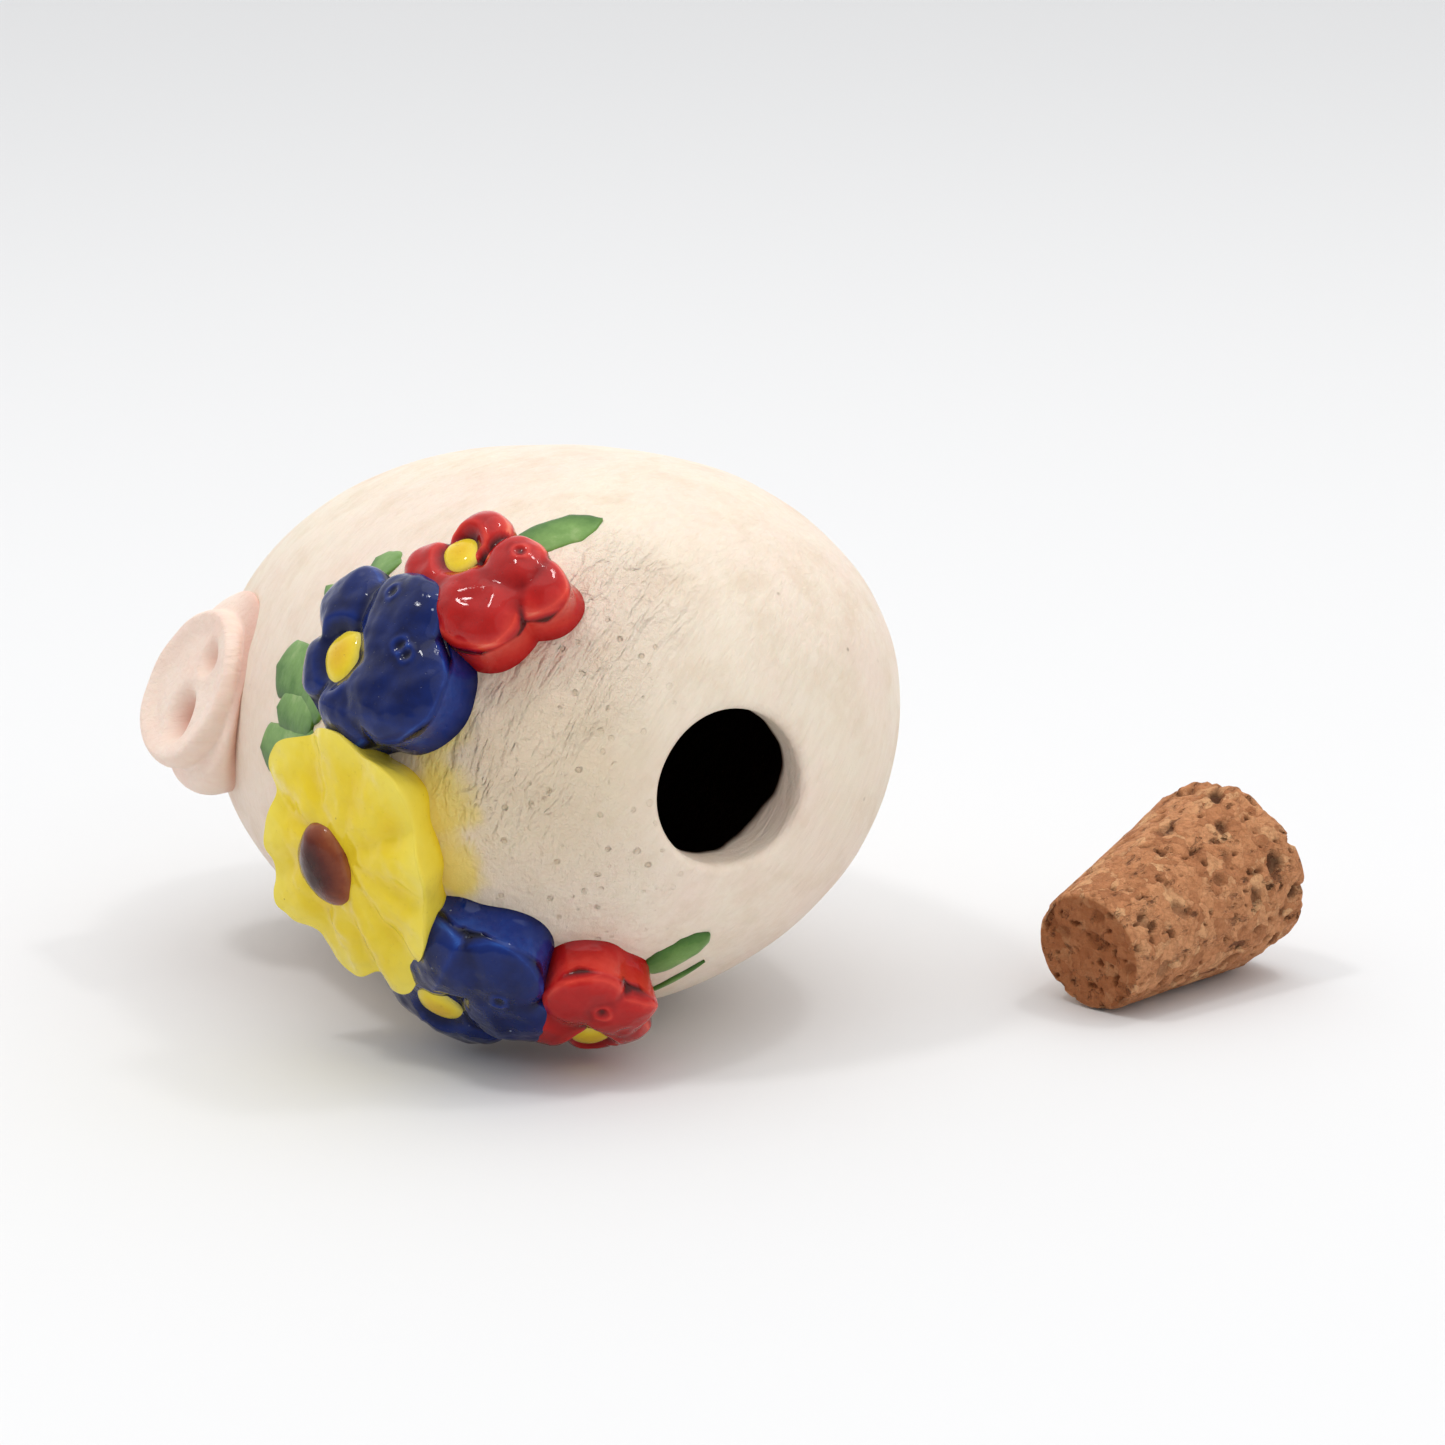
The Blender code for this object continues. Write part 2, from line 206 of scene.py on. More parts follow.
def signed_volume(mesh):
    """Six times the volume that a closed mesh holds, negative when its faces look inwards."""
    mesh.calc_loop_triangles()
    count = len(mesh.loop_triangles)
    corners = np.empty(count * 3, dtype=np.int32)
    mesh.loop_triangles.foreach_get("vertices", corners)
    places = np.empty(len(mesh.vertices) * 3)
    mesh.vertices.foreach_get("co", places)
    tri = places.reshape(-1, 3)[corners.reshape(-1, 3)]
    return float(np.einsum("ij,ij->", tri[:, 0], np.cross(tri[:, 1], tri[:, 2])))


# ---------------- materials

class Paint:
    """A Principled material and short calls for its nodes."""

    def __init__(self, name, roughness, specular=0.5, coat=0.0, coat_roughness=0.05, subsurface=0.0):
        self.material = bpy.data.materials.new(name)
        self.material.use_nodes = True
        self.tree = self.material.node_tree
        self.shader = self.tree.nodes["Principled BSDF"]
        for socket, value in (
            ("Roughness", roughness),
            ("Specular IOR Level", specular),
            ("Coat Weight", coat),
            ("Coat Roughness", coat_roughness),
            ("Subsurface Weight", subsurface),
        ):
            self.shader.inputs[socket].default_value = value
        self.shader.inputs["Subsurface Scale"].default_value = 0.6 * MM
        self.coordinates = self.node("ShaderNodeTexCoord").outputs["Object"]

    def node(self, kind, inputs=None, **settings):
        """A new node, with a value or a socket for each input."""
        made = self.tree.nodes.new(kind)
        for key, value in settings.items():
            setattr(made, key, value)
        for key, value in (inputs or {}).items():
            self.put(made.inputs[key], value)
        return made

    def put(self, socket, value):
        if isinstance(value, bpy.types.NodeSocket):
            self.tree.links.new(value, socket)
        elif socket.type == "RGBA":
            socket.default_value = (*value, 1.0)
        else:
            socket.default_value = value

    def set(self, socket, value):
        self.put(self.shader.inputs[socket], value)

    def noise(self, scale, detail=4.0, rough=0.55, where=None, distortion=0.0):
        made = self.node("ShaderNodeTexNoise", {
            "Vector": where or self.coordinates,
            "Scale": scale, "Detail": detail, "Roughness": rough, "Distortion": distortion,
        })
        return made.outputs["Fac"]

    def cells(self, scale):
        """Distance to the nearest of many scattered points, in cells. A cell is 1 / scale metres."""
        made = self.node("ShaderNodeTexVoronoi", {"Vector": self.coordinates, "Scale": scale})
        return made.outputs["Distance"]

    def ramp(self, value, stops):
        """stops: (position, colour) or (position, grey)."""
        made = self.node("ShaderNodeValToRGB", {"Fac": value})
        ramp = made.color_ramp
        while len(ramp.elements) < len(stops):
            ramp.elements.new(0.5)
        for element, (place, colour) in zip(ramp.elements, stops):
            element.position = place
            if isinstance(colour, (int, float)):
                colour = (colour, colour, colour)
            element.color = (*colour, 1.0)
        return made.outputs["Color"]

    def math(self, operation, a, b=0.0, clamp=False):
        made = self.node("ShaderNodeMath", {0: a, 1: b}, operation=operation, use_clamp=clamp)
        return made.outputs[0]

    def vector(self, operation, inputs):
        return self.node("ShaderNodeVectorMath", inputs, operation=operation).outputs[0]

    def mix(self, factor, a, b):
        made = self.node("ShaderNodeMix", data_type="RGBA")
        self.put(made.inputs[0], factor)
        self.put(made.inputs[6], a)
        self.put(made.inputs[7], b)
        return made.outputs[2]

    def near(self, point, inner, outer, ragged=0.0, ragged_scale=300.0):
        """1 within inner metres of a row-frame point, falling to 0 at outer."""
        where = self.coordinates
        if ragged:
            shake = self.node("ShaderNodeTexNoise", {"Vector": where, "Scale": ragged_scale})
            centred = self.vector("SUBTRACT", {0: shake.outputs["Color"], 1: (0.5, 0.5, 0.5)})
            moved = self.vector("SCALE", {0: centred, 3: ragged})
            where = self.vector("ADD", {0: where, 1: moved})
        far = self.node("ShaderNodeVectorMath", {0: where, 1: tuple(point)}, operation="DISTANCE")
        made = self.node("ShaderNodeMapRange", {
            "Value": far.outputs["Value"], "From Min": inner, "From Max": outer,
            "To Min": 1.0, "To Max": 0.0,
        }, interpolation_type="SMOOTHSTEP")
        return made.outputs["Result"]

    def along(self, turn, size):
        """Coordinates whose x runs the way the turned x axis points, divided by size on each axis."""
        made = self.node("ShaderNodeMapping", {
            "Vector": self.coordinates, "Rotation": turn, "Scale": size,
        }, vector_type="TEXTURE")
        return made.outputs["Vector"]

    def spots(self, places):
        """The strongest of several near() masks, with ragged edges; 0 where there are none."""
        mask = 0.0
        for point, inner, outer in places:
            mask = self.math("MAXIMUM", mask, self.near(point, inner, outer, 6.0 * MM, 140.0))
        return mask

    def attribute(self, name):
        return self.node("ShaderNodeAttribute", attribute_name=name).outputs["Fac"]

    def bump(self, *layers):
        """layers: (height, depth in metres), stacked."""
        normal = None
        for height, depth in layers:
            inputs = {"Height": height, "Distance": depth, "Strength": 1.0}
            if normal is not None:
                inputs["Normal"] = normal
            normal = self.node("ShaderNodeBump", inputs).outputs["Normal"]
        self.set("Normal", normal)


def slip_paint(name, base, blush, shade, tints=(), ridges=(), rubbed=(), turn=(0.0, 0.0, 0.0)):
    """Brushed slip: faint patches, fine strokes, thick dragged ridges, pits and dark specks.

    tints: (point, inner, outer, strength, colour); ridges and rubbed: (point, inner, outer).
    turn: the brush's direction, as a rotation of the x axis.
    """
    paint = Paint(name, roughness=0.5, specular=0.3, subsurface=0.10)
    patches = paint.ramp(paint.noise(62.0, 4.0, 0.6), [(0.40, 0.0), (0.64, 1.0)])
    colour = paint.mix(patches, base, blush)
    wear = paint.ramp(paint.noise(210.0, 6.0, 0.65), [(0.46, 0.0), (0.70, 1.0)])
    colour = paint.mix(paint.math("MULTIPLY", wear, 0.30), colour, shade)
    long_way = paint.along(turn, (1.0 / 90.0, 1.0 / 560.0, 1.0 / 560.0))
    dragged = paint.noise(1.0, 2.5, 0.5, long_way, 0.6)
    lumps = paint.ramp(dragged, [(0.43, 0.0), (0.62, 1.0)])
    hair_way = paint.along(turn, (1.0 / 260.0, 1.0 / 1500.0, 1.0 / 1500.0))
    drawn = paint.noise(1.0, 5.0, 0.6, hair_way, 0.3)
    worked = paint.spots(ridges)
    lumps = paint.math("MULTIPLY", lumps, worked)
    colour = paint.mix(paint.math("MULTIPLY", worked, 0.10), colour, shade)
    strokes = paint.ramp(drawn, [(0.42, 0.0), (0.62, 1.0)])
    colour = paint.mix(paint.math("MULTIPLY", strokes, 0.12), colour, shade)
    dots = paint.ramp(paint.cells(420.0), [(0.05, 1.0), (0.12, 0.0)])
    here = paint.ramp(paint.noise(260.0, 2.0), [(0.60, 0.0), (0.75, 1.0)])
    specks = paint.math("MULTIPLY", paint.math("MULTIPLY", dots, here), 0.7)
    colour = paint.mix(specks, colour, (0.14, 0.08, 0.045))
    torn = paint.math("ADD", paint.cells(640.0), paint.math("MULTIPLY", paint.noise(1600.0, 3.0), 0.30))
    pits = paint.ramp(torn, [(0.22, 0.0), (0.36, 1.0)])
    few = paint.ramp(paint.noise(300.0, 3.0), [(0.44, 1.0), (0.54, 0.0)])
    rough_spots = paint.spots(rubbed)
    untouched = paint.math("SUBTRACT", 1.0, rough_spots)
    pitted = paint.math("MAXIMUM", pits, paint.math("MAXIMUM", few, untouched))
    dusky = paint.math("MULTIPLY", paint.math("SUBTRACT", 1.0, pitted), 0.55)
    colour = paint.mix(dusky, colour, (0.42, 0.28, 0.15))
    for point, inner, outer, strength, tint in tints:
        mask = paint.math("MULTIPLY", paint.near(point, inner, outer, 4.0 * MM), strength)
        colour = paint.mix(mask, colour, tint)
    paint.set("Base Color", colour)
    rough_map = paint.node("ShaderNodeMapRange", {"Value": wear, "To Min": 0.42, "To Max": 0.62})
    paint.set("Roughness", rough_map.outputs["Result"])
    handled = paint.math("MAXIMUM", worked, rough_spots)
    crumbs = paint.math("MULTIPLY", paint.noise(560.0, 5.0, 0.7), handled)
    scattered = paint.ramp(paint.cells(360.0), [(0.0, 0.0), (0.12, 1.0)])
    sparse = paint.ramp(paint.noise(120.0, 2.0), [(0.56, 1.0), (0.66, 0.0)])
    paint.bump((lumps, 0.32 * MM), (drawn, 0.20 * MM), (crumbs, 0.60 * MM), (pitted, 0.22 * MM),
               (paint.math("MAXIMUM", scattered, sparse), 0.10 * MM))
    return paint.material


def glaze_paint(name, stops, speck=None, roughness=0.10, mottling=0.22):
    """Pooled glaze over modelled clay. The thick attribute says how deep it lies."""
    paint = Paint(name, roughness=roughness, specular=0.09, coat=0.40, coat_roughness=0.03)
    uneven = paint.math("SUBTRACT", paint.noise(320.0, 5.0, 0.6), 0.5)
    clouds = paint.math("MULTIPLY", uneven, mottling * 2.0)
    deep = paint.math("ADD", paint.attribute("thick"), clouds, clamp=True)
    colour = paint.ramp(deep, stops)
    if speck is not None:
        dots = paint.ramp(paint.cells(900.0), [(0.06, 1.0), (0.13, 0.0)])
        here = paint.ramp(paint.noise(330.0, 2.0), [(0.58, 0.0), (0.72, 1.0)])
        specks = paint.math("MULTIPLY", paint.math("MULTIPLY", dots, here), 0.8)
        colour = paint.mix(specks, colour, speck)
    paint.set("Base Color", colour)
    pin_holes = paint.ramp(paint.cells(1300.0), [(0.05, 0.0), (0.14, 1.0)])
    paint.bump((paint.noise(260.0, 3.0), 0.30 * MM), (paint.noise(900.0, 3.0), 0.05 * MM),
               (pin_holes, 0.04 * MM))
    return paint.material


def leaf_paint():
    """Thin green glaze, drawn out in streaks."""
    paint = Paint("leaf_green", roughness=0.38, specular=0.3, coat=0.08, coat_roughness=0.2)
    streaky = paint.math("SUBTRACT", paint.noise(420.0, 5.0, 0.65), 0.5)
    streaks = paint.math("MULTIPLY", streaky, 0.7)
    deep = paint.math("ADD", paint.attribute("thick"), streaks, clamp=True)
    colour = paint.ramp(deep, [
        (0.0, (0.44, 0.56, 0.25)), (0.3, (0.17, 0.33, 0.075)), (0.62, (0.065, 0.18, 0.022)),
        (1.0, (0.02, 0.075, 0.008)),
    ])
    paint.set("Base Color", colour)
    paint.bump((paint.noise(380.0, 4.0), 0.12 * MM))
    return paint.material


def clay_paint(name, base, dark):
    """Unglazed fired clay: sandy, with a few dark grains."""
    paint = Paint(name, roughness=0.9, specular=0.2)
    grains = paint.noise(700.0, 6.0, 0.7)
    colour = paint.mix(paint.ramp(grains, [(0.35, 0.0), (0.7, 1.0)]), dark, base)
    burnt = paint.ramp(paint.cells(900.0), [(0.05, 0.6), (0.15, 0.0)])
    colour = paint.mix(burnt, colour, (0.09, 0.05, 0.03))
    paint.set("Base Color", colour)
    paint.bump((grains, 0.25 * MM), (paint.cells(500.0), 0.10 * MM))
    return paint.material


def cork_paint():
    """Pressed cork granules: each cell has its own tan, with dark gaps between, and painted shade in the
    pits and on the small end.
    """
    paint = Paint("pressed_cork", roughness=0.85, specular=0.25, subsurface=0.05)
    shake = paint.node("ShaderNodeTexNoise", {
        "Vector": paint.coordinates, "Scale": 520.0, "Detail": 4.0,
    })
    moved = paint.vector("SCALE", {0: shake.outputs["Color"], 3: 3.0 * MM})
    where = paint.vector("ADD", {0: paint.coordinates, 1: moved})
    granule = paint.node("ShaderNodeTexVoronoi", {"Vector": where, "Scale": 700.0})
    own = paint.node("ShaderNodeSeparateColor", {"Color": granule.outputs["Color"]})
    blended = paint.math("ADD", paint.math("MULTIPLY", own.outputs[0], 0.55),
                         paint.math("MULTIPLY", paint.noise(480.0, 5.0, 0.7), 0.45))
    colour = paint.ramp(blended, [
        (0.12, (0.34, 0.125, 0.050)), (0.35, (0.56, 0.24, 0.105)), (0.6, (0.66, 0.31, 0.145)),
        (0.8, (0.75, 0.42, 0.21)), (0.95, (0.82, 0.55, 0.31)),
    ])
    small = paint.noise(1400.0, 5.0, 0.75)
    colour = paint.mix(paint.ramp(small, [(0.38, 0.45), (0.56, 0.0)]), colour, (0.26, 0.09, 0.03))
    grain = paint.along((0.0, 0.0, math.radians(48.0)), (1.0 / 330.0, 1.0 / 900.0, 1.0 / 700.0))
    slots = paint.noise(1.0, 3.0, 0.6, grain)
    colour = paint.mix(paint.ramp(slots, [(0.62, 0.0), (0.70, 0.75)]), colour, (0.10, 0.032, 0.013))
    seams = paint.node("ShaderNodeTexVoronoi", {"Vector": where, "Scale": 700.0},
                       feature="DISTANCE_TO_EDGE").outputs["Distance"]
    seam = paint.ramp(seams, [(0.0, 0.22), (0.10, 0.0)])
    colour = paint.mix(seam, colour, (0.16, 0.06, 0.025))
    # Painted shade: the torn pits go near-black.
    colour = paint.mix(paint.attribute("pit"), colour, (0.035, 0.012, 0.006))
    # Painted shade: the flat small end face, turned away from the overhead lamp, is darkened to a deep
    # orange-brown.
    colour = paint.mix(paint.attribute("end"), colour, (0.30, 0.085, 0.022))
    paint.set("Base Color", colour)
    sunken = paint.ramp(slots, [(0.58, 1.0), (0.70, 0.0)])
    paint.bump((seams, 0.25 * MM), (small, 0.35 * MM), (sunken, 0.35 * MM))
    return paint.material


# ---------------- the shell

def slerp(a, b, s):
    """Unit vectors a share s of the way from a to b."""
    angle = np.arccos(np.clip(np.sum(a * b, axis=-1, keepdims=True), -1.0, 1.0))
    return (np.sin((1.0 - s) * angle) * a + np.sin(s * angle) * b) / np.sin(angle)


MOUTH_AXIS = to_egg_vector(heading_vector(EGG_TILT - MOUTH_DROP))
MOUTH_CENTRE = on_skin(direction(MOUTH_AZIMUTH, MOUTH_POLAR))
MOUTH_ACROSS = unit(np.cross(MOUTH_AXIS, [0.0, 1.0, 0.0]))
MOUTH_UP = np.cross(MOUTH_ACROSS, MOUTH_AXIS)
MOUTH_CENTRE = MOUTH_CENTRE - MOUTH_UP * 0.5 * MM


def mouth_spoke(turns, radius):
    """Points round the mouth's axis, level with its middle."""
    radius = np.asarray(radius)
    spread = np.cos(turns)[:, None] * MOUTH_ACROSS + np.sin(turns)[:, None] * MOUTH_UP
    return MOUTH_CENTRE + spread * (radius[:, None] if radius.ndim else radius)


def drop_to_skin(points):
    """Slides points along the bore's axis until they lie on the skin."""
    for _ in range(12):
        gap = np.linalg.norm(on_skin(points), axis=-1) - np.linalg.norm(points, axis=-1)
        points = points + MOUTH_AXIS * gap[:, None]
    return points


def make_shell():
    """One surface: the skin, the rim rolled into the mouth, the ragged bore and the chamber."""
    turns = circle(300)
    edge = 1.0 * MM
    oval = 0.022 * np.cos(2.0 * (turns - math.radians(105.0)))
    bore = MOUTH_RADIUS * (0.965 - oval + 0.010 * np.sin(3.0 * turns + 2.0))
    rim = unit(drop_to_skin(mouth_spoke(turns, bore + edge)))
    antipode = -unit(MOUTH_CENTRE)
    rings = [worked_skin(antipode[None, :])]
    inside = [np.zeros(1)]
    for s in np.linspace(0.0, 1.0, 216)[1:]:
        rings.append(worked_skin(slerp(np.broadcast_to(antipode, rim.shape), rim, s)))
        inside.append(np.zeros(len(turns)))
    lowered = np.linalg.norm(rings[-1], axis=-1) - np.linalg.norm(on_skin(rings[-1]), axis=-1)
    for angle in np.radians([15.0, 30.0, 45.0, 60.0, 75.0, 90.0]):
        ring = drop_to_skin(mouth_spoke(turns, bore + edge * (1.0 - math.sin(angle))))
        ring = ring + unit(ring) * lowered[:, None] - MOUTH_AXIS * edge * (1.0 - math.cos(angle))
        rings.append(ring)
        inside.append(np.zeros(len(turns)))
    brink = rings[-1]
    heavy = np.exp(-((turns - math.radians(250.0)) / 0.62) ** 2)
    ragged = 0.20 * np.sin(5.0 * turns + 1.0) + 0.12 * np.sin(11.0 * turns)
    ragged = ragged + 0.10 * np.sin(17.0 * turns + 2.0)
    depth = (2.4 + 0.30 * ragged + 1.9 * heavy) * MM
    lean = (0.15 + 0.18 * ragged + 0.25 * heavy) * MM
    for share in (0.15, 0.35, 0.6, 0.8, 0.93, 1.0):
        inward = brink - MOUTH_AXIS * (depth * share)[:, None]
        towards_axis = unit(mouth_spoke(turns, 0.0) - mouth_spoke(turns, 1.0))
        rings.append(inward + towards_axis * (lean * share ** 2)[:, None])
        # The inside mask, which carries painted shade, rises from 0 to 1 towards the bottom of the bore.
        inside.append(np.full(len(turns), smooth(0.75, 1.0, share)))
    lip = rings[-1]
    inner_rim = unit(lip - MOUTH_AXIS * 1.2 * MM)
    for s in np.concatenate([[0.012], np.linspace(0.03, 1.0, 70)[:-1]]):
        ring = on_skin(slerp(inner_rim, np.broadcast_to(antipode, rim.shape), s), WALL)
        rings.append(ring)
        inside.append(np.ones(len(turns)))
    rings.append(on_skin(antipode[None, :], WALL))
    inside.append(np.ones(1))
    rings = [to_row(ring) for ring in rings]
    for ring in rings:
        ring[:, 2] = np.maximum(ring[:, 2], 0.0)
    shell = loft("shell_skin", rings, "shaker", {"inside": inside})
    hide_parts("shell")
    return shell


def on_egg(azimuth, polar):
    """A row-frame point on the skin, for placing paint."""
    return to_row(worked_skin(direction([azimuth], [polar])))[0]


def shell_paint():
    """Cream slip outside, with overspray beside the yellow blossom; bare clay inside, darkened
    near-black with painted shade.
    """
    spray = (0.90, 0.70, 0.10)
    drag = Vector((0.50, 0.44, 0.75)).to_track_quat("X", "Z").to_euler()
    material = slip_paint(
        "cream_slip_brushed", (0.86, 0.755, 0.62), (0.86, 0.71, 0.60), (0.62, 0.46, 0.31),
        tints=(
            (on_egg(34.0, 54.0), 2.2 * MM, 4.6 * MM, 0.97, spray),
            (on_egg(18.0, 52.5), 2.4 * MM, 4.8 * MM, 0.97, spray),
            (on_egg(3.0, 52.5), 1.8 * MM, 4.2 * MM, 0.85, spray),
            (on_egg(20.0, 112.0), 4.0 * MM, 20.0 * MM, 0.30, (0.88, 0.66, 0.55)),
            (on_egg(24.0, 36.0), 4.0 * MM, 17.0 * MM, 0.50, (0.70, 0.555, 0.36)),
            (on_egg(70.0, 36.0), 2.0 * MM, 12.0 * MM, 0.25, (0.74, 0.56, 0.44)),
        ),
        ridges=(
            (on_egg(52.0, 36.0), 4.0 * MM, 12.0 * MM), (on_egg(27.0, 41.0), 4.0 * MM, 11.0 * MM),
            (on_egg(85.0, 38.0), 3.0 * MM, 10.0 * MM),
        ),
        rubbed=(
            (on_egg(5.0, 34.0), 4.0 * MM, 12.0 * MM), (on_egg(-13.0, 30.0), 2.0 * MM, 9.0 * MM),
            (on_egg(60.0, 30.0), 2.0 * MM, 9.0 * MM),
        ),
        turn=tuple(drag),
    )
    # Painted shade: the deep end of the bore and the whole chamber go near-black, far darker than the
    # bare clay's own brown.
    stain(material, "inside", (0.06, 0.03, 0.018), 1.0)
    return material


def snout_paint():
    """Pink slip, with painted shade inside the nostrils and along the fold against the egg."""
    material = slip_paint(
        "pink_slip_brushed", (0.93, 0.76, 0.65), (0.92, 0.68, 0.57), (0.82, 0.55, 0.44),
    )
    # Painted shade: a darker ruddy pink inside the nostrils and along the fold, where the hollow mask
    # rises.
    stain(material, "hollow", (0.60, 0.25, 0.17), 0.95)
    return material


def stain(material, attribute, colour, strength):
    """Turns a material's base colour towards another where a mesh attribute rises to 1."""
    tree = material.node_tree
    base = tree.nodes["Principled BSDF"].inputs["Base Color"]
    reads = tree.nodes.new("ShaderNodeAttribute")
    reads.attribute_name = attribute
    share = tree.nodes.new("ShaderNodeMath")
    share.operation = "MULTIPLY"
    share.inputs[1].default_value = strength
    mixed = tree.nodes.new("ShaderNodeMix")
    mixed.data_type = "RGBA"
    mixed.inputs[7].default_value = (*colour, 1.0)
    tree.links.new(reads.outputs["Fac"], share.inputs[0])
    tree.links.new(share.outputs[0], mixed.inputs[0])
    tree.links.new(base.links[0].from_socket, mixed.inputs[6])
    tree.links.new(mixed.outputs[2], base)


# ---------------- blossoms

class SkinPatch:
    """A flat sketch plane that touches the egg, whose points are carried onto the skin."""

    def __init__(self, azimuth, polar):
        self.centre = on_skin(direction(azimuth, polar))
        self.normal = skin_normal(self.centre)
        far_end = np.array([0.0, 0.0, 1.0])
        self.along = unit(far_end - self.normal * (far_end @ self.normal))
        self.side = np.cross(self.normal, self.along)

    def lift(self, x, y, height):
        x, y, height = np.broadcast_arrays(x, y, height)
        skin = worked_skin(self.centre + x[..., None] * self.along + y[..., None] * self.side)
        return skin + skin_normal(skin) * height[..., None]


# Each blossom: its middle (azimuth, polar), the height of its seat, which holds its button, the
# button (x, y, radius, height), how far its foot spreads and the seed of its unevenness. A closed one
# also has the height of its rim, the radius that fills its notches, the way it tucks under the open
# blossom (direction, start, slope), its petals pressed from balls of clay (x, y, radius, crown) and
# the bubbles that burst in its glaze (x, y). All in mm
BLOSSOMS = {
    "red_blossom_top": dict(
        at=(60.5, 52.0), seat=4.5, button=(3.7, -2.1, 1.8, 0.6), spread=0.16, seed=3,
        rim=3.4, disc=4.6, tuck=(0.0, 0.0, 0.0, 0.0),
        petals=(
            (3.6, -4.4, 2.7, 2.5), (6.0, 0.1, 2.6, 2.0), (-1.2, -3.5, 2.8, 2.6),
            (-3.9, -2.9, 2.8, 1.9), (-1.0, 0.8, 3.8, 2.6), (2.8, 1.6, 3.0, 2.0),
        ),
        bubbles=((-1.6, -4.1), (1.6, -2.6)),
    ),
    "blue_blossom_top": dict(
        at=(42.0, 66.5), seat=4.6, button=(2.3, 0.7, 2.25, 0.6), spread=0.10, seed=4,
        rim=3.9, disc=6.9, tuck=(0.0, 1.0, 4.5, 0.30),
        petals=(
            (-4.7, 1.3, 5.0, 2.1), (-2.3, -3.7, 4.5, 2.4), (4.6, -3.5, 3.7, 2.1),
            (5.0, 1.7, 2.8, 1.3), (-0.2, 4.3, 3.5, 1.6),
        ),
        bubbles=((-4.4, -1.4), (-5.2, -1.0), (-1.2, -5.0)),
    ),
    "blue_blossom_bottom": dict(
        at=(-20.5, 62.5), seat=4.2, button=(1.9, 0.6, 2.2, 0.6), spread=0.08, seed=6,
        rim=3.5, disc=6.2, tuck=(0.50, -0.87, 1.2, 0.50),
        petals=(
            (-6.7, -0.9, 4.4, 2.0), (-3.8, 3.6, 4.2, 2.1), (3.7, 4.1, 3.9, 1.8),
            (6.8, -0.9, 4.0, 1.8), (1.0, -4.0, 3.8, 1.9), (-3.5, -4.0, 3.9, 2.3),
        ),
        bubbles=((-6.2, 0.6),),
    ),
    "red_blossom_bottom": dict(
        at=(-41.5, 48.5), seat=4.0, button=(2.2, 1.3, 1.8, 0.5), spread=0.10, seed=7,
        rim=3.4, disc=4.6, tuck=(0.0, 0.0, 0.0, 0.0),
        petals=(
            (-3.0, -2.5, 3.5, 1.9), (-2.8, 1.0, 3.0, 2.0), (0.2, 2.9, 2.8, 1.7),
            (3.4, 2.5, 2.3, 1.2), (2.2, -2.6, 3.2, 1.8),
        ),
        bubbles=((-3.4, -1.2),),
    ),
    "yellow_blossom": dict(
        at=(7.7, 70.5), seat=3.1, button=(2.6, 1.0, 3.5, 1.9), spread=0.0, seed=5,
    ),
}
OPEN_BLOSSOM = "yellow_blossom"

# The open blossom is a dish: its petals are (turn in degrees, reach in mm) round the rim
OPEN_PETALS = (
    (-48, 11.2), (-98, 10.9), (-141, 11.3), (178, 10.1), (138, 11.2), (100, 13.0), (66, 13.2),
    (28, 11.6), (-8, 9.8),
)

SLOTS = {
    "red_blossom_top": "red_glaze", "red_blossom_bottom": "red_glaze",
    "blue_blossom_top": "blue_glaze", "blue_blossom_bottom": "blue_glaze",
    "yellow_blossom": "yellow_glaze",
}


def soft_max(values, sharpness=7.0):
    """Of values from 0 up: nearly the largest, with the seams between them eased."""
    return np.sum(np.clip(values, 0.0, None) ** sharpness, axis=0) ** (1.0 / sharpness)


def petal_height(spec, x, y):
    """Height over the skin of a closed blossom's face, in mm, at (x, y) mm."""
    domes = []
    for number, (px, py, radius, crown) in enumerate(spec["petals"]):
        turn = 0.9 * number + spec["seed"]
        u = (x - px) * math.cos(turn) + (y - py) * math.sin(turn)
        v = (y - py) * math.cos(turn) - (x - px) * math.sin(turn)
        far = (np.abs(u / radius) ** 2.5 + np.abs(v / radius) ** 2.5) ** 0.4
        domes.append(crown * np.clip(1.0 - far ** 3.0, 0.0, 1.0) ** 0.6)
    height = spec["rim"] + soft_max(domes, 5.0)
    dx, dy, start, slope = spec["tuck"]
    height = height - slope * np.clip(x * dx + y * dy - start, 0.0, None)
    bx, by, radius, _ = spec["button"]
    hollow = smooth(0.70, 1.45, np.hypot(x - bx, y - by) / radius)
    height = spec["seat"] * (1.0 - hollow) + height * hollow
    for cx, cy in spec["bubbles"]:
        far = np.hypot(x - cx, y - cy)
        lip = 0.12 * np.exp(-((far - 0.62) / 0.20) ** 2)
        height = height + lip - 0.16 * np.exp(-((far / 0.42) ** 2))
    return height


def petal_reach(spec, turns):
    """How far the rim of a closed blossom lies from its middle, in mm, for each turn."""
    rays = []
    for px, py, radius, _ in spec["petals"]:
        ahead = px * np.cos(turns) + py * np.sin(turns)
        aside = py * np.cos(turns) - px * np.sin(turns)
        rays.append(np.where(
            np.abs(aside) < radius,
            ahead + np.sqrt(np.clip(radius ** 2 - aside ** 2, 0.0, None)), 0.0,
        ))
    rays.append(np.full(len(turns), spec["disc"]))
    return soft_max(rays, 12.0)


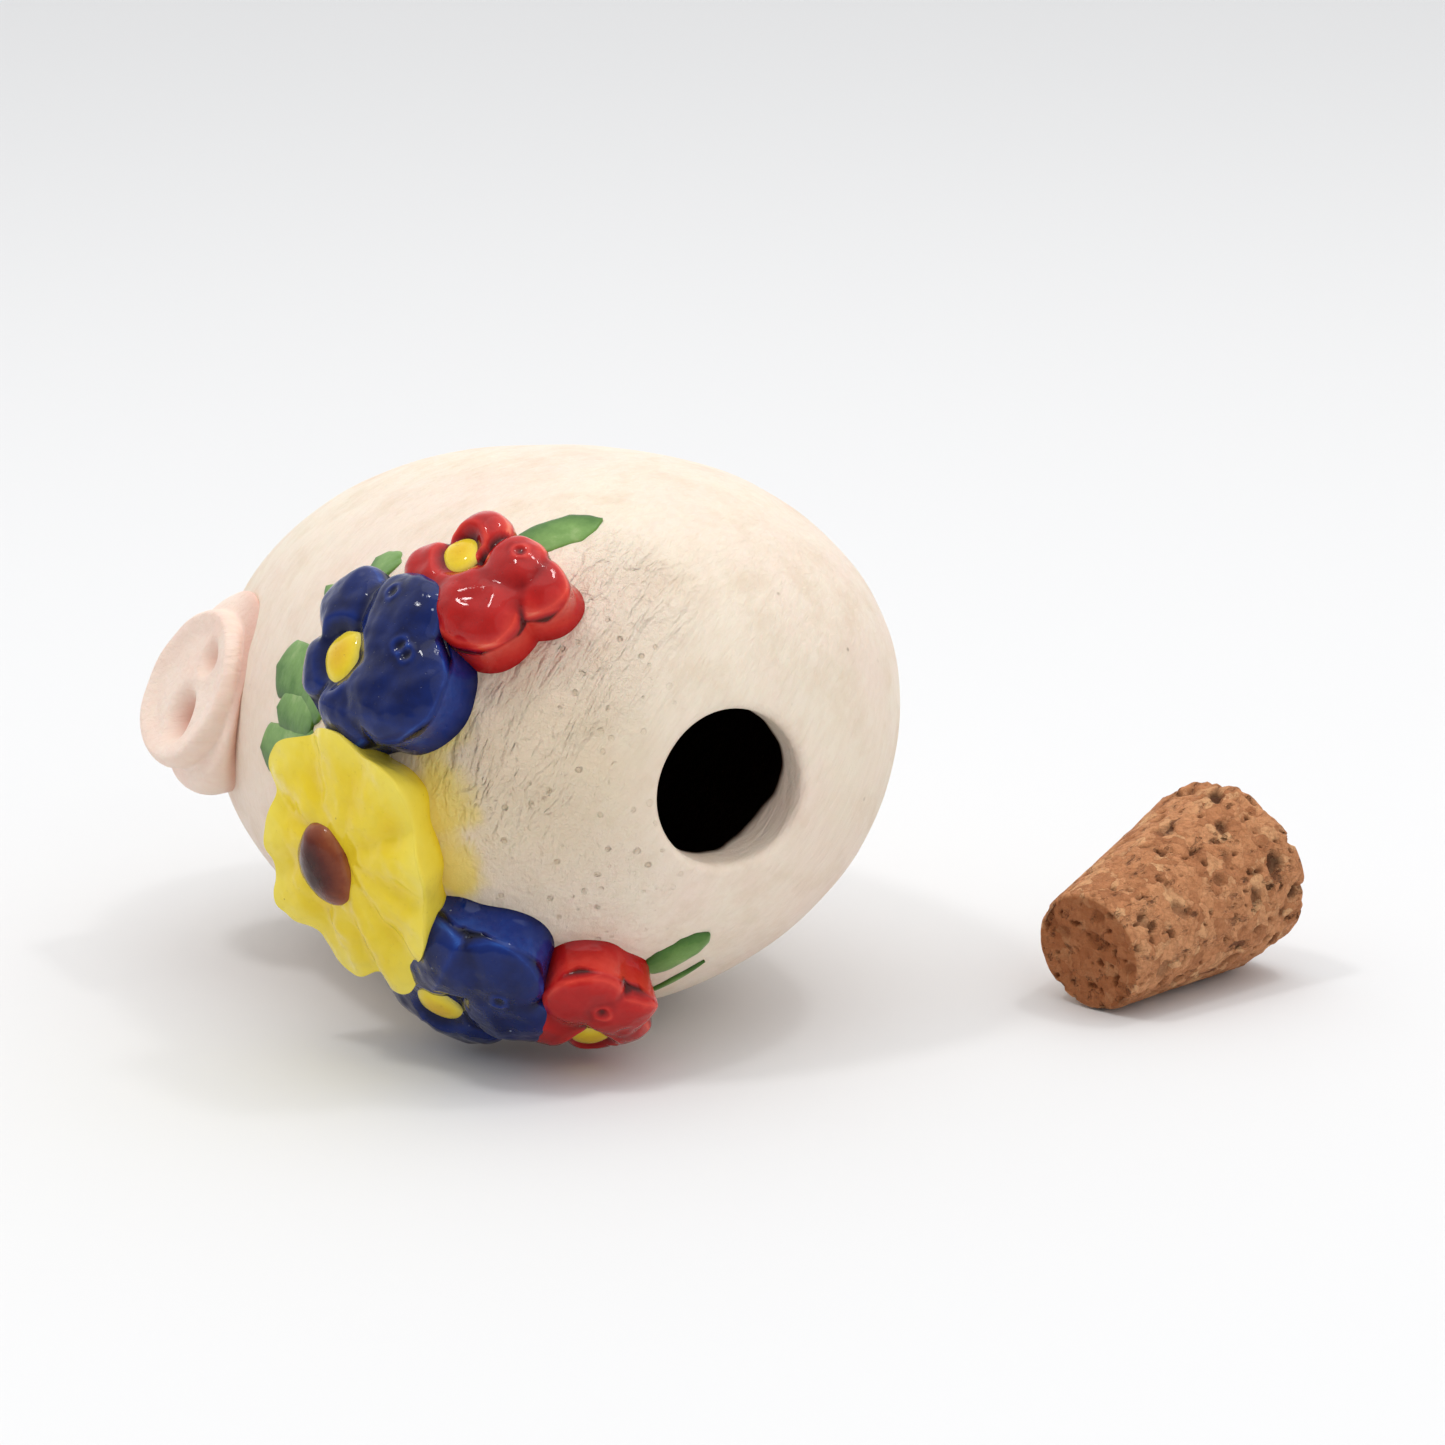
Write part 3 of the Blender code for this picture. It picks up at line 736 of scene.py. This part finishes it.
def open_reach(turns):
    """Rim of the open blossom in mm, and how near each turn is to the crease between two petals."""
    order = sorted((math.radians(turn) % (2.0 * math.pi), reach) for turn, reach in OPEN_PETALS)
    reach = np.empty(len(turns))
    crease = np.empty(len(turns))
    for k, (start, first) in enumerate(order):
        end, second = order[(k + 1) % len(order)]
        span = (end - start) % (2.0 * math.pi)
        ahead = (turns - start) % (2.0 * math.pi)
        here = ahead < span
        share = ahead[here] / span
        crease[here] = (0.5 - 0.5 * np.cos(2.0 * math.pi * share)) ** 1.5
        blend = smooth(0.0, 1.0, share)
        reach[here] = (first * (1.0 - blend) + second * blend) * (1.0 - 0.070 * crease[here])
    return reach, crease


def open_height(turns, crease, share):
    """Height of the open blossom's dish, in mm: shallow spoons that rise to a thick wavy rim."""
    waves = 0.35 * np.sin(3.0 * turns + 1.0) + 0.25 * np.sin(5.0 * turns)
    floor = 3.1 + 1.6 * share ** 1.6 + waves * share ** 2
    spoons = -0.75 * crease * smooth(0.20, 0.85, share) + 0.30 * (1.0 - crease) * share
    return floor + spoons


def make_blossom(name, spec):
    """A blossom's petals and wall, from a foot sunk in the slip to the middle of its face."""
    patch = SkinPatch(*spec["at"])
    turns = circle(260)
    is_open = name == OPEN_BLOSSOM
    if is_open:
        reach, crease = open_reach(turns)
    else:
        reach, crease = petal_reach(spec, turns), np.zeros(len(turns))

    def surface(share):
        """x, y and height in mm of the face, a share of the way from its middle to its rim."""
        x, y = share * reach * np.cos(turns), share * reach * np.sin(turns)
        if is_open:
            return x, y, open_height(turns, crease, share)
        return x, y, petal_height(spec, x, y)

    def pooled(x, y, height):
        """How much deeper the glaze lies than on a level face: it runs off edges into hollows."""
        step = 0.55
        sides = ((1, 0), (-1, 0), (0, 1), (0, -1))
        around = [petal_height(spec, x + dx * step, y + dy * step) for dx, dy in sides]
        return np.mean(around, axis=0) - height

    rows, thick = [], []

    def add(x, y, height, depth):
        """One more ring, made uneven as pressed clay is, with its depth of glaze."""
        spot = np.stack([x, y, height], axis=-1)
        shake = 0.34 * wobble(spot, 2.6, spec["seed"]) + 0.13 * wobble(spot, 1.2, spec["seed"] + 11)
        shake = np.where(height > 1.0, shake, 0.0)
        out = 1.0 + 0.42 * wobble(spot, 4.2, spec["seed"] + 5) / np.maximum(np.hypot(x, y), 4.0)
        rows.append(patch.lift(x * out * MM, y * out * MM, (height + shake) * MM))
        thick.append(np.clip(depth * np.ones(len(x)), 0.0, 1.0))

    zero = np.zeros(1)
    add(zero, zero, zero - 0.3, 0.5)
    add(0.5 * reach * np.cos(turns), 0.5 * reach * np.sin(turns), np.full(len(turns), -0.3), 0.5)
    _, _, brow = surface(1.0)
    for share in np.linspace(0.0, 1.0, 14):
        out = 1.0 + spec["spread"] * (1.0 - share) ** 2.2 - (0.05 * (1.0 - share) if is_open else 0.0)
        x, y = out * reach * np.cos(turns), out * reach * np.sin(turns)
        add(x, y, -0.3 + (brow - 0.3) * share, 0.50 - 0.14 * share + 0.3 * (1.0 - share) ** 4)
    inward = 1.0 - np.linspace(0.0, 1.0, 58)[1:-1] ** 1.55
    for share in inward:
        x, y, height = surface(share)
        if is_open:
            depth = 0.60 - 0.28 * smooth(0.65, 1.0, share) + 0.12 * crease * share
        else:
            depth = 0.66 + 1.7 * pooled(x, y, height)
        add(x, y, height, depth)
    add(zero, zero, np.atleast_1d(surface(0.0)[2])[:1], 0.6)
    rings = [to_row(row) for row in rows]
    piece = loft(name + "_petals", rings, "shaker", {"thick": thick})
    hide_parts(name)
    return piece


def button_slot(name):
    return "brown_glaze" if name == OPEN_BLOSSOM else "yellow_glaze"


def make_button(name, spec):
    """The pressed button at a blossom's middle: a low lens, or a tall dome on the open one."""
    patch = SkinPatch(*spec["at"])
    cx, cy, radius, height = spec["button"]
    foot = spec["seat"] - 0.35
    turns = circle(64)
    uneven = 1.0 + 0.06 * np.sin(2.0 * turns + spec["seed"]) + 0.04 * np.sin(3.0 * turns + 1.0)
    arcs = [(math.cos(a), math.sin(a)) for a in np.radians(np.linspace(0, 86, 18))]
    rows = [patch.lift(np.full(1, cx * MM), np.full(1, cy * MM), np.full(1, foot * MM))]
    thick = [np.full(1, 0.2)]
    for share, rise in [(0.9, 0.0)] + arcs:
        x = cx + share * radius * uneven * np.cos(turns)
        y = cy + share * radius * uneven * np.sin(turns)
        shake = 0.10 * wobble(np.stack([x, y, x * 0.0 + rise], axis=-1), 1.6, spec["seed"] + 20)
        lifted = foot + rise ** 0.85 * (height + 0.35) + shake
        rows.append(patch.lift(x * MM, y * MM, lifted * MM))
        thick.append(np.full(len(turns), 0.12 + 0.83 * rise ** 1.6))
    top = foot + height + 0.35
    rows.append(patch.lift(np.full(1, cx * MM), np.full(1, cy * MM), np.full(1, top * MM)))
    thick.append(np.full(1, 0.95))
    rings = [to_row(row) for row in rows]
    piece = loft(name + "_button", rings, "shaker", {"thick": thick})
    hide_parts(name + "_centre")
    return piece


# ---------------- painted leaves

# Each stroke: points on the egg as (azimuth, polar) and its half width in mm along the way
LEAVES = {
    "leaf_top": (((77.0, 60.5), (84.0, 58.0), (91.0, 55.8), (97.0, 54.2)), (1.5, 2.6, 2.3, 0.7)),
    "leaf_small": (((60.0, 87.0), (62.0, 91.0), (63.5, 96.0)), (1.9, 2.4, 1.3)),
    "leaf_faint": (((51.5, 97.0), (53.0, 101.5), (54.5, 106.0)), (0.6, 1.1, 0.6)),
    "leaf_lobe_high": (((29.0, 86.0), (36.5, 94.0), (36.5, 109.5)), (2.2, 3.1, 3.2)),
    "leaf_lobe_far": (((28.0, 88.0), (29.0, 95.0), (29.0, 104.5)), (2.4, 2.7, 1.8)),
    "leaf_lobe_low": (((24.0, 86.0), (22.0, 96.0), (20.5, 110.0)), (2.2, 2.6, 2.5)),
    "leaf_bottom": (((-49.8, 40.6), (-54.5, 37.5), (-59.5, 33.5), (-64.0, 30.0)), (1.3, 2.1, 1.9, 1.0)),
    "leaf_stem": (((-57.0, 49.5), (-62.5, 44.0), (-68.5, 38.5)), (0.35, 0.6, 0.25)),
}


def make_leaf(name, places, widths, number):
    """A brush stroke of green glaze, raised a little over the slip."""
    knots = np.linspace(0.0, 1.0, len(places))
    along = np.linspace(0.0, 1.0, 42)
    azimuth = np.interp(along, knots, [place[0] for place in places])
    polar = np.interp(along, knots, [place[1] for place in places])
    kernel = np.array([0.25, 0.5, 0.25])
    for _ in range(6):
        azimuth[1:-1] = np.convolve(azimuth, kernel, "same")[1:-1]
        polar[1:-1] = np.convolve(polar, kernel, "same")[1:-1]
    path = on_skin(direction(azimuth, polar))
    tangent = unit(np.gradient(path, axis=0))
    normal = skin_normal(path)
    sideways = np.cross(normal, tangent)
    half = np.interp(along, knots, widths) * MM
    half *= np.sqrt(np.clip(np.minimum(along, 1.0 - along) * 9.0, 0.02, 1.0))
    ragged = 1.0 + 0.04 * np.sin(along * 11.0 + number) + 0.015 * np.sin(along * 31.0 + number)
    rows, thick = [], []
    across = np.linspace(-1.0, 1.0, 15)
    top = 0.30 * MM
    sunk = -0.12 * MM
    for k in range(len(along)):
        spread = across[:, None] * sideways[k] * half[k] * ragged[k]
        skin = worked_skin(path[k] + spread)
        out = skin_normal(skin)
        rise = sunk + (top - sunk) * np.clip(1.0 - across ** 2, 0.0, 1.0) ** 0.35
        upper = skin + out * rise[:, None]
        under = skin[::-1][1:-1] + out[::-1][1:-1] * sunk
        rows.append(to_row(np.concatenate([upper, under])))
        depth = 0.62 + 0.28 * across - 0.28 * (1.0 - across ** 2) * math.sin(math.pi * along[k])
        thick.append(np.concatenate([depth, np.full(len(under), 0.6)]))
    first = to_row(worked_skin(path[0]))[None, :]
    last = to_row(worked_skin(path[-1]))[None, :]
    return loft(name, [first] + rows + [last], "shaker",
                {"thick": [np.full(1, 0.5)] + thick + [np.full(1, 0.3)]})


# ---------------- the snout

def make_snout():
    """A round nose pad with a rolled rim and two nostrils, on a cone that grows out of the egg."""
    patch = SkinPatch(27.5, 136.0)
    forward = unit(to_egg_vector(SNOUT_FORWARD))
    along = unit(np.array([0.0, 0.0, 1.0]) - forward * forward[2])
    below = np.cross(forward, along)
    radius = 8.3 * MM
    pad = patch.centre + forward * 4.1 * MM + below * 0.9 * MM - along * 0.7 * MM
    nostrils = (
        (below * 2.7 * MM - along * 0.5 * MM, 1.75, 2.0),
        (below * -3.3 * MM - along * 2.6 * MM, 1.2, 0.9),
    )
    turns = circle(180)
    over = np.clip(-np.sin(turns), 0.0, 1.0)
    under = np.clip(np.sin(turns), 0.0, 1.0)
    wavy = 1.0 + 0.03 * np.sin(2.0 * turns + 0.5) + 0.02 * np.sin(3.0 * turns + 1.2)

    def base(share):
        """A ring of the foot, sunk in the egg."""
        reach = (8.9 + 1.0 * over ** 1.5 + 2.0 * under ** 2) * MM * share * wavy
        return patch.lift(reach * np.cos(turns), reach * np.sin(turns), -0.3 * MM)

    def front(share, depth):
        """A ring of the pad's face, depth metres behind its front, with the nostrils pressed in."""
        flat = along * np.cos(turns)[:, None] + below * np.sin(turns)[:, None]
        spot = flat * (share * radius * wavy)[:, None]
        sunk = depth * np.ones(len(turns))
        for centre, size, deep in nostrils:
            off = spot - centre
            far = np.hypot(off @ along / 1.1, off @ below / 1.25) / (size * MM)
            rolled = 0.22 * MM * np.exp(-((far - 1.45) / 0.45) ** 2)
            sunk = sunk + deep * MM * np.exp(-far ** 2.4) - rolled
        return pad + spot - forward * sunk[:, None]

    def shaded(ring):
        """How much painted shade: 1 inside the nostrils, and part way along the fold where the cone
        meets the egg.
        """
        deepest = np.zeros(len(ring))
        for centre, size, deep in nostrils:
            off = ring - pad - centre
            off = off - forward * (off @ forward)[:, None]
            far = np.linalg.norm(off, axis=-1) / (size * MM)
            deepest = np.maximum(deepest, deep / 2.0 * np.exp(-far ** 2.6))
        sits = egg_value(ring) ** (1.0 / SQUARENESS) - 1.0
        return np.maximum(deepest, 0.6 * smooth(0.045, 0.0, sits))

    rings = [patch.lift(np.zeros(1), np.zeros(1), np.full(1, -0.3 * MM)), base(0.5)]
    foot, brow = base(1.0), front(1.0, 1.6 * MM)
    out = unit(along * np.cos(turns)[:, None] + below * np.sin(turns)[:, None])
    for share in np.linspace(0.0, 1.0, 18):
        swell = math.sin(math.pi * share) * (0.65 * MM + 0.7 * MM * over + 0.8 * MM * under)
        crease = 0.9 * MM * under * math.exp(-((share - 0.86) / 0.09) ** 2)
        rings.append(foot * (1.0 - share) + brow * share + out * (swell - crease)[:, None])
    for angle in np.radians(np.linspace(12.0, 90.0, 9)):
        rings.append(front(0.90 + 0.10 * math.cos(angle), 1.6 * MM * (1.0 - math.sin(angle))))
    for share in np.linspace(0.885, 0.02, 40):
        dished = 0.62 * MM * smooth(0.90, 0.62, share)
        rings.append(front(share, dished - 0.25 * MM * smooth(0.5, 0.0, share)))
    rings.append(np.mean(rings[-1], axis=0)[None, :])
    shaken, hollow = [], []
    for ring in rings:
        ring = np.atleast_2d(ring)
        shake = 0.22 * MM * wobble(ring, 4.0 * MM, 9)
        shaken.append(to_row(ring + unit(ring) * shake[:, None]))
        hollow.append(shaded(ring))
    piece = loft("snout_pad", shaken, "shaker", {"hollow": hollow})
    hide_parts("snout")
    return piece


# ---------------- stopper and pellets

CORK_SMALL_RADIUS = 6.0 * MM
CORK_LARGE_RADIUS = 9.24 * MM
CORK_LENGTH = 22.7 * MM
CORK_HEADING = math.radians(-41.8)
CORK_SMALL_END = (35.97 * MM, -14.20 * MM)


def make_stopper():
    """Tapered pressed cork with torn pits, crumbling round its large end."""
    taper = math.atan((CORK_LARGE_RADIUS - CORK_SMALL_RADIUS) / CORK_LENGTH)
    heading = Vector((math.sin(CORK_HEADING), -math.cos(CORK_HEADING), 0.0))
    nose = (heading * math.cos(taper) - Vector((0.0, 0.0, 1.0)) * math.sin(taper)).normalized()
    side = nose.cross(Vector((0.0, 0.0, 1.0))).normalized()
    upright = (-nose).cross(side)
    start = np.array([*CORK_SMALL_END, CORK_SMALL_RADIUS * math.cos(taper) + 0.02 * MM])
    axes = np.array([side, upright, -nose])
    turns = circle(240)

    def radius_at(along):
        share = along / CORK_LENGTH
        straight = CORK_SMALL_RADIUS + (CORK_LARGE_RADIUS - CORK_SMALL_RADIUS) * share
        return straight + 0.45 * MM * share ** 2

    # Along the cork from its small end: (radius, distance, how much it crumbles)
    flat = CORK_SMALL_RADIUS - 0.4 * MM
    profile = [(share * flat, 0.0, 0.0) for share in np.linspace(0.0, 1.0, 26)]
    profile += [
        (CORK_SMALL_RADIUS - 0.4 * MM * (1.0 - math.sin(a)), 0.4 * MM * (1.0 - math.cos(a)), 0.0)
        for a in np.radians([30.0, 60.0, 90.0])
    ]
    last = CORK_LENGTH - 0.7 * MM
    profile += [
        (radius_at(along), along, smooth(0.55, 1.0, along / CORK_LENGTH))
        for along in np.linspace(0.8 * MM, last, 86)
    ]
    profile += [
        (radius_at(last) - 2.0 * MM * (1.0 - math.cos(a)), last + 1.5 * MM * math.sin(a), 1.0)
        for a in np.radians([15.0, 30.0, 45.0, 60.0, 75.0, 90.0])
    ]
    inner = profile[-1][0]
    profile += [(share * inner, last + 1.5 * MM, 1.0) for share in np.linspace(0.95, 0.0, 26)]
    rings, pits, ends = [], [], []
    for radius, along, crumble in profile:
        count = 1 if radius < 1e-6 else len(turns)
        angles = turns[:count]
        round_it = (radius * np.cos(angles), radius * np.sin(angles), np.full(count, along))
        spot = np.stack(round_it, axis=-1)
        coarse = wobble(spot, 2.1 * MM, 31)
        fine = wobble(spot, 0.9 * MM, 32)
        lumps = wobble(spot, 4.0 * MM, 33)
        hole = smooth(0.34, 0.50, coarse) * (0.45 + 0.55 * crumble)
        tiny = smooth(0.40, 0.55, fine) * 0.7
        pit = np.clip(np.maximum(hole, tiny), 0.0, 1.0)
        worn = crumble * (0.15 + 0.75 * lumps + 0.35 * fine) * MM
        broken = np.exp(-((angles - math.radians(255.0)) / 0.8) ** 2)
        broken = broken * smooth(0.80, 1.0, along / CORK_LENGTH)
        sink = 0.75 * MM * pit + np.clip(worn, 0.0, None) + 0.06 * MM * fine + 1.5 * MM * broken
        on_end = along <= 0.0 or along >= last + 1.5 * MM - 1e-9
        if on_end:
            push = np.array([0.0, 0.0, 1.0 if along <= 0.0 else -1.0])
            spot = spot + push * sink[:, None]
        else:
            inward = np.stack([-np.cos(angles), -np.sin(angles), np.zeros(count)], axis=-1)
            spot = spot + inward * sink[:, None]
        placed = start + spot @ axes
        placed[:, 2] = np.maximum(placed[:, 2], 0.0)
        rings.append(placed)
        # pit and end carry painted shade: near-black in the torn pits, darker on the small end face.
        pits.append(pit * 0.9)
        ends.append(np.full(count, 0.62 if along <= 0.0 else 0.0))
    piece = loft("cork_stopper", rings, "stopper", {"pit": pits, "end": ends})
    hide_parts("stopper")
    return piece


def make_pellet(number):
    """A hand-rolled clay ball, not quite round."""
    low, high = (np.array(corner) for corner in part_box(f"pellet_{number}"))
    centre, radius = (low + high) / 2.0, (high[0] - low[0]) / 2.0 * 0.97
    turns = circle(40)
    rings = []
    for polar in np.linspace(0.0, math.pi, 25):
        count = 1 if polar in (0.0, math.pi) else len(turns)
        spread = math.sin(polar)
        level = np.full(count, math.cos(polar))
        ball = np.stack([spread * np.cos(turns[:count]), spread * np.sin(turns[:count]), level], axis=-1)
        dents = 0.04 * np.abs(wobble(ball, 0.6, 40 + number))
        dents = dents + 0.02 * np.abs(wobble(ball, 0.25, 50 + number))
        rings.append(centre + ball * radius * (1.0 - dents)[:, None])
    piece = loft(f"clay_pellet_{number}", rings, f"pellet_{number}")
    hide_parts(f"pellet_{number}")
    return piece


# ---------------- the studio

def make_studio():
    """A wide pale sheet, a white sky that is brighter behind and above, and soft lamps."""
    floor_mesh = bpy.data.meshes.new("floor")
    half = 4.0
    corners = [(-half, -half, 0.0), (half, -half, 0.0), (half, half, 0.0), (-half, half, 0.0)]
    floor_mesh.from_pydata(corners, [], [(0, 1, 2, 3)])
    floor = bpy.data.objects.new("floor", floor_mesh)
    bpy.context.collection.objects.link(floor)
    floor.location.z = -0.05 * MM
    paper = Paint("white_paper", roughness=0.75, specular=0.15)
    paper.set("Base Color", (0.77, 0.775, 0.785))
    floor_mesh.materials.append(paper.material)

    world = bpy.data.worlds.new("studio")
    bpy.context.scene.world = world
    world.use_nodes = True
    tree = world.node_tree
    where = tree.nodes.new("ShaderNodeTexCoord").outputs["Generated"]
    towards = tree.nodes.new("ShaderNodeVectorMath")
    towards.operation = "DOT_PRODUCT"
    tree.links.new(where, towards.inputs[0])
    towards.inputs[1].default_value = (0.0, 0.55, 0.83)
    fade = tree.nodes.new("ShaderNodeMapRange")
    fade.interpolation_type = "SMOOTHSTEP"
    for socket, value in (("From Min", -0.15), ("From Max", 0.75), ("To Min", 0.47), ("To Max", 1.04)):
        fade.inputs[socket].default_value = value
    tree.links.new(towards.outputs["Value"], fade.inputs["Value"])
    background = tree.nodes["Background"]
    background.inputs["Color"].default_value = (1.0, 1.0, 1.0, 1.0)
    tree.links.new(fade.outputs["Result"], background.inputs["Strength"])

    # Each lamp: where it hangs, its width in metres, its power in watts and its colour
    for name, place, size, power, tint in (
        ("overhead", (0.08, 0.06, 0.80), 0.85, 1.15, (1.0, 0.985, 0.965)),
        ("sparkle_left", (-0.26, -0.10, 0.62), 0.085, 0.62, (1.0, 0.99, 0.98)),
        ("sparkle_right", (0.24, 0.06, 0.66), 0.075, 0.42, (1.0, 0.99, 0.98)),
        ("front_fill", (0.60, -0.70, 0.35), 1.2, 1.6, (1.0, 0.985, 0.96)),
    ):
        data = bpy.data.lights.new(name, "AREA")
        data.shape = "DISK"
        data.size = size
        data.energy = power
        data.color = tint
        lamp = bpy.data.objects.new(name, data)
        bpy.context.collection.objects.link(lamp)
        lamp.location = place
        aim = Vector((0.0, 0.0, 0.02)) - lamp.location
        lamp.rotation_euler = aim.to_track_quat("-Z", "Y").to_euler()


def make_camera():
    """15 degrees above the table, 450 mm from a point just above the egg's middle line."""
    data = bpy.data.cameras.new("camera")
    data.sensor_width = 36.0
    data.lens = 116.6
    camera = bpy.data.objects.new("camera", data)
    bpy.context.collection.objects.link(camera)
    target = Vector((0.99, -5.84, 26.47)) * MM
    elevation, distance = math.radians(15.0), 450.0 * MM
    camera.location = target + Vector((0.0, -math.cos(elevation), math.sin(elevation))) * distance
    camera.rotation_euler = (target - camera.location).to_track_quat("-Z", "Y").to_euler()
    bpy.context.scene.camera = camera


def glaze_all():
    """The glaze of each slot, from thin to deep."""
    blue = glaze_paint("cobalt_glaze", [
        (0.0, (0.17, 0.30, 0.64)), (0.2, (0.020, 0.080, 0.36)), (0.42, (0.004, 0.022, 0.17)),
        (0.70, (0.0012, 0.006, 0.060)), (1.0, (0.0003, 0.001, 0.014)),
    ], speck=(0.45, 0.52, 0.68))
    red = glaze_paint("crimson_glaze", [
        (0.0, (0.86, 0.20, 0.12)), (0.25, (0.72, 0.055, 0.034)), (0.5, (0.50, 0.013, 0.011)),
        (0.8, (0.26, 0.003, 0.004)), (1.0, (0.07, 0.0008, 0.001)),
    ])
    yellow = glaze_paint("yellow_glaze_gloss", [
        (0.0, (0.93, 0.84, 0.33)), (0.3, (0.90, 0.74, 0.10)), (0.6, (0.86, 0.65, 0.03)),
        (1.0, (0.74, 0.45, 0.01)),
    ], speck=(0.22, 0.10, 0.02), mottling=0.15, roughness=0.18)
    brown = glaze_paint("brown_glaze_gloss", [
        (0.0, (0.42, 0.15, 0.05)), (0.35, (0.23, 0.05, 0.018)), (0.7, (0.10, 0.014, 0.007)),
        (1.0, (0.03, 0.003, 0.002)),
    ], speck=(0.75, 0.45, 0.12), mottling=0.35)
    return {"red_glaze": red, "blue_glaze": blue, "yellow_glaze": yellow, "brown_glaze": brown}


def main():
    bpy.context.scene.view_settings.view_transform = "Standard"
    glazes = glaze_all()
    make_shell().data.materials.append(shell_paint())
    for name, spec in BLOSSOMS.items():
        make_blossom(name, spec).data.materials.append(glazes[SLOTS[name]])
        make_button(name, spec).data.materials.append(glazes[button_slot(name)])
    leaf = leaf_paint()
    for number, (name, (places, widths)) in enumerate(LEAVES.items()):
        make_leaf(name, places, widths, number).data.materials.append(leaf)
    make_snout().data.materials.append(snout_paint())
    make_stopper().data.materials.append(cork_paint())
    clay = clay_paint("bare_fired_clay", (0.50, 0.27, 0.16), (0.30, 0.14, 0.08))
    for number in range(1, 6):
        make_pellet(number).data.materials.append(clay)
    make_studio()
    make_camera()


main()
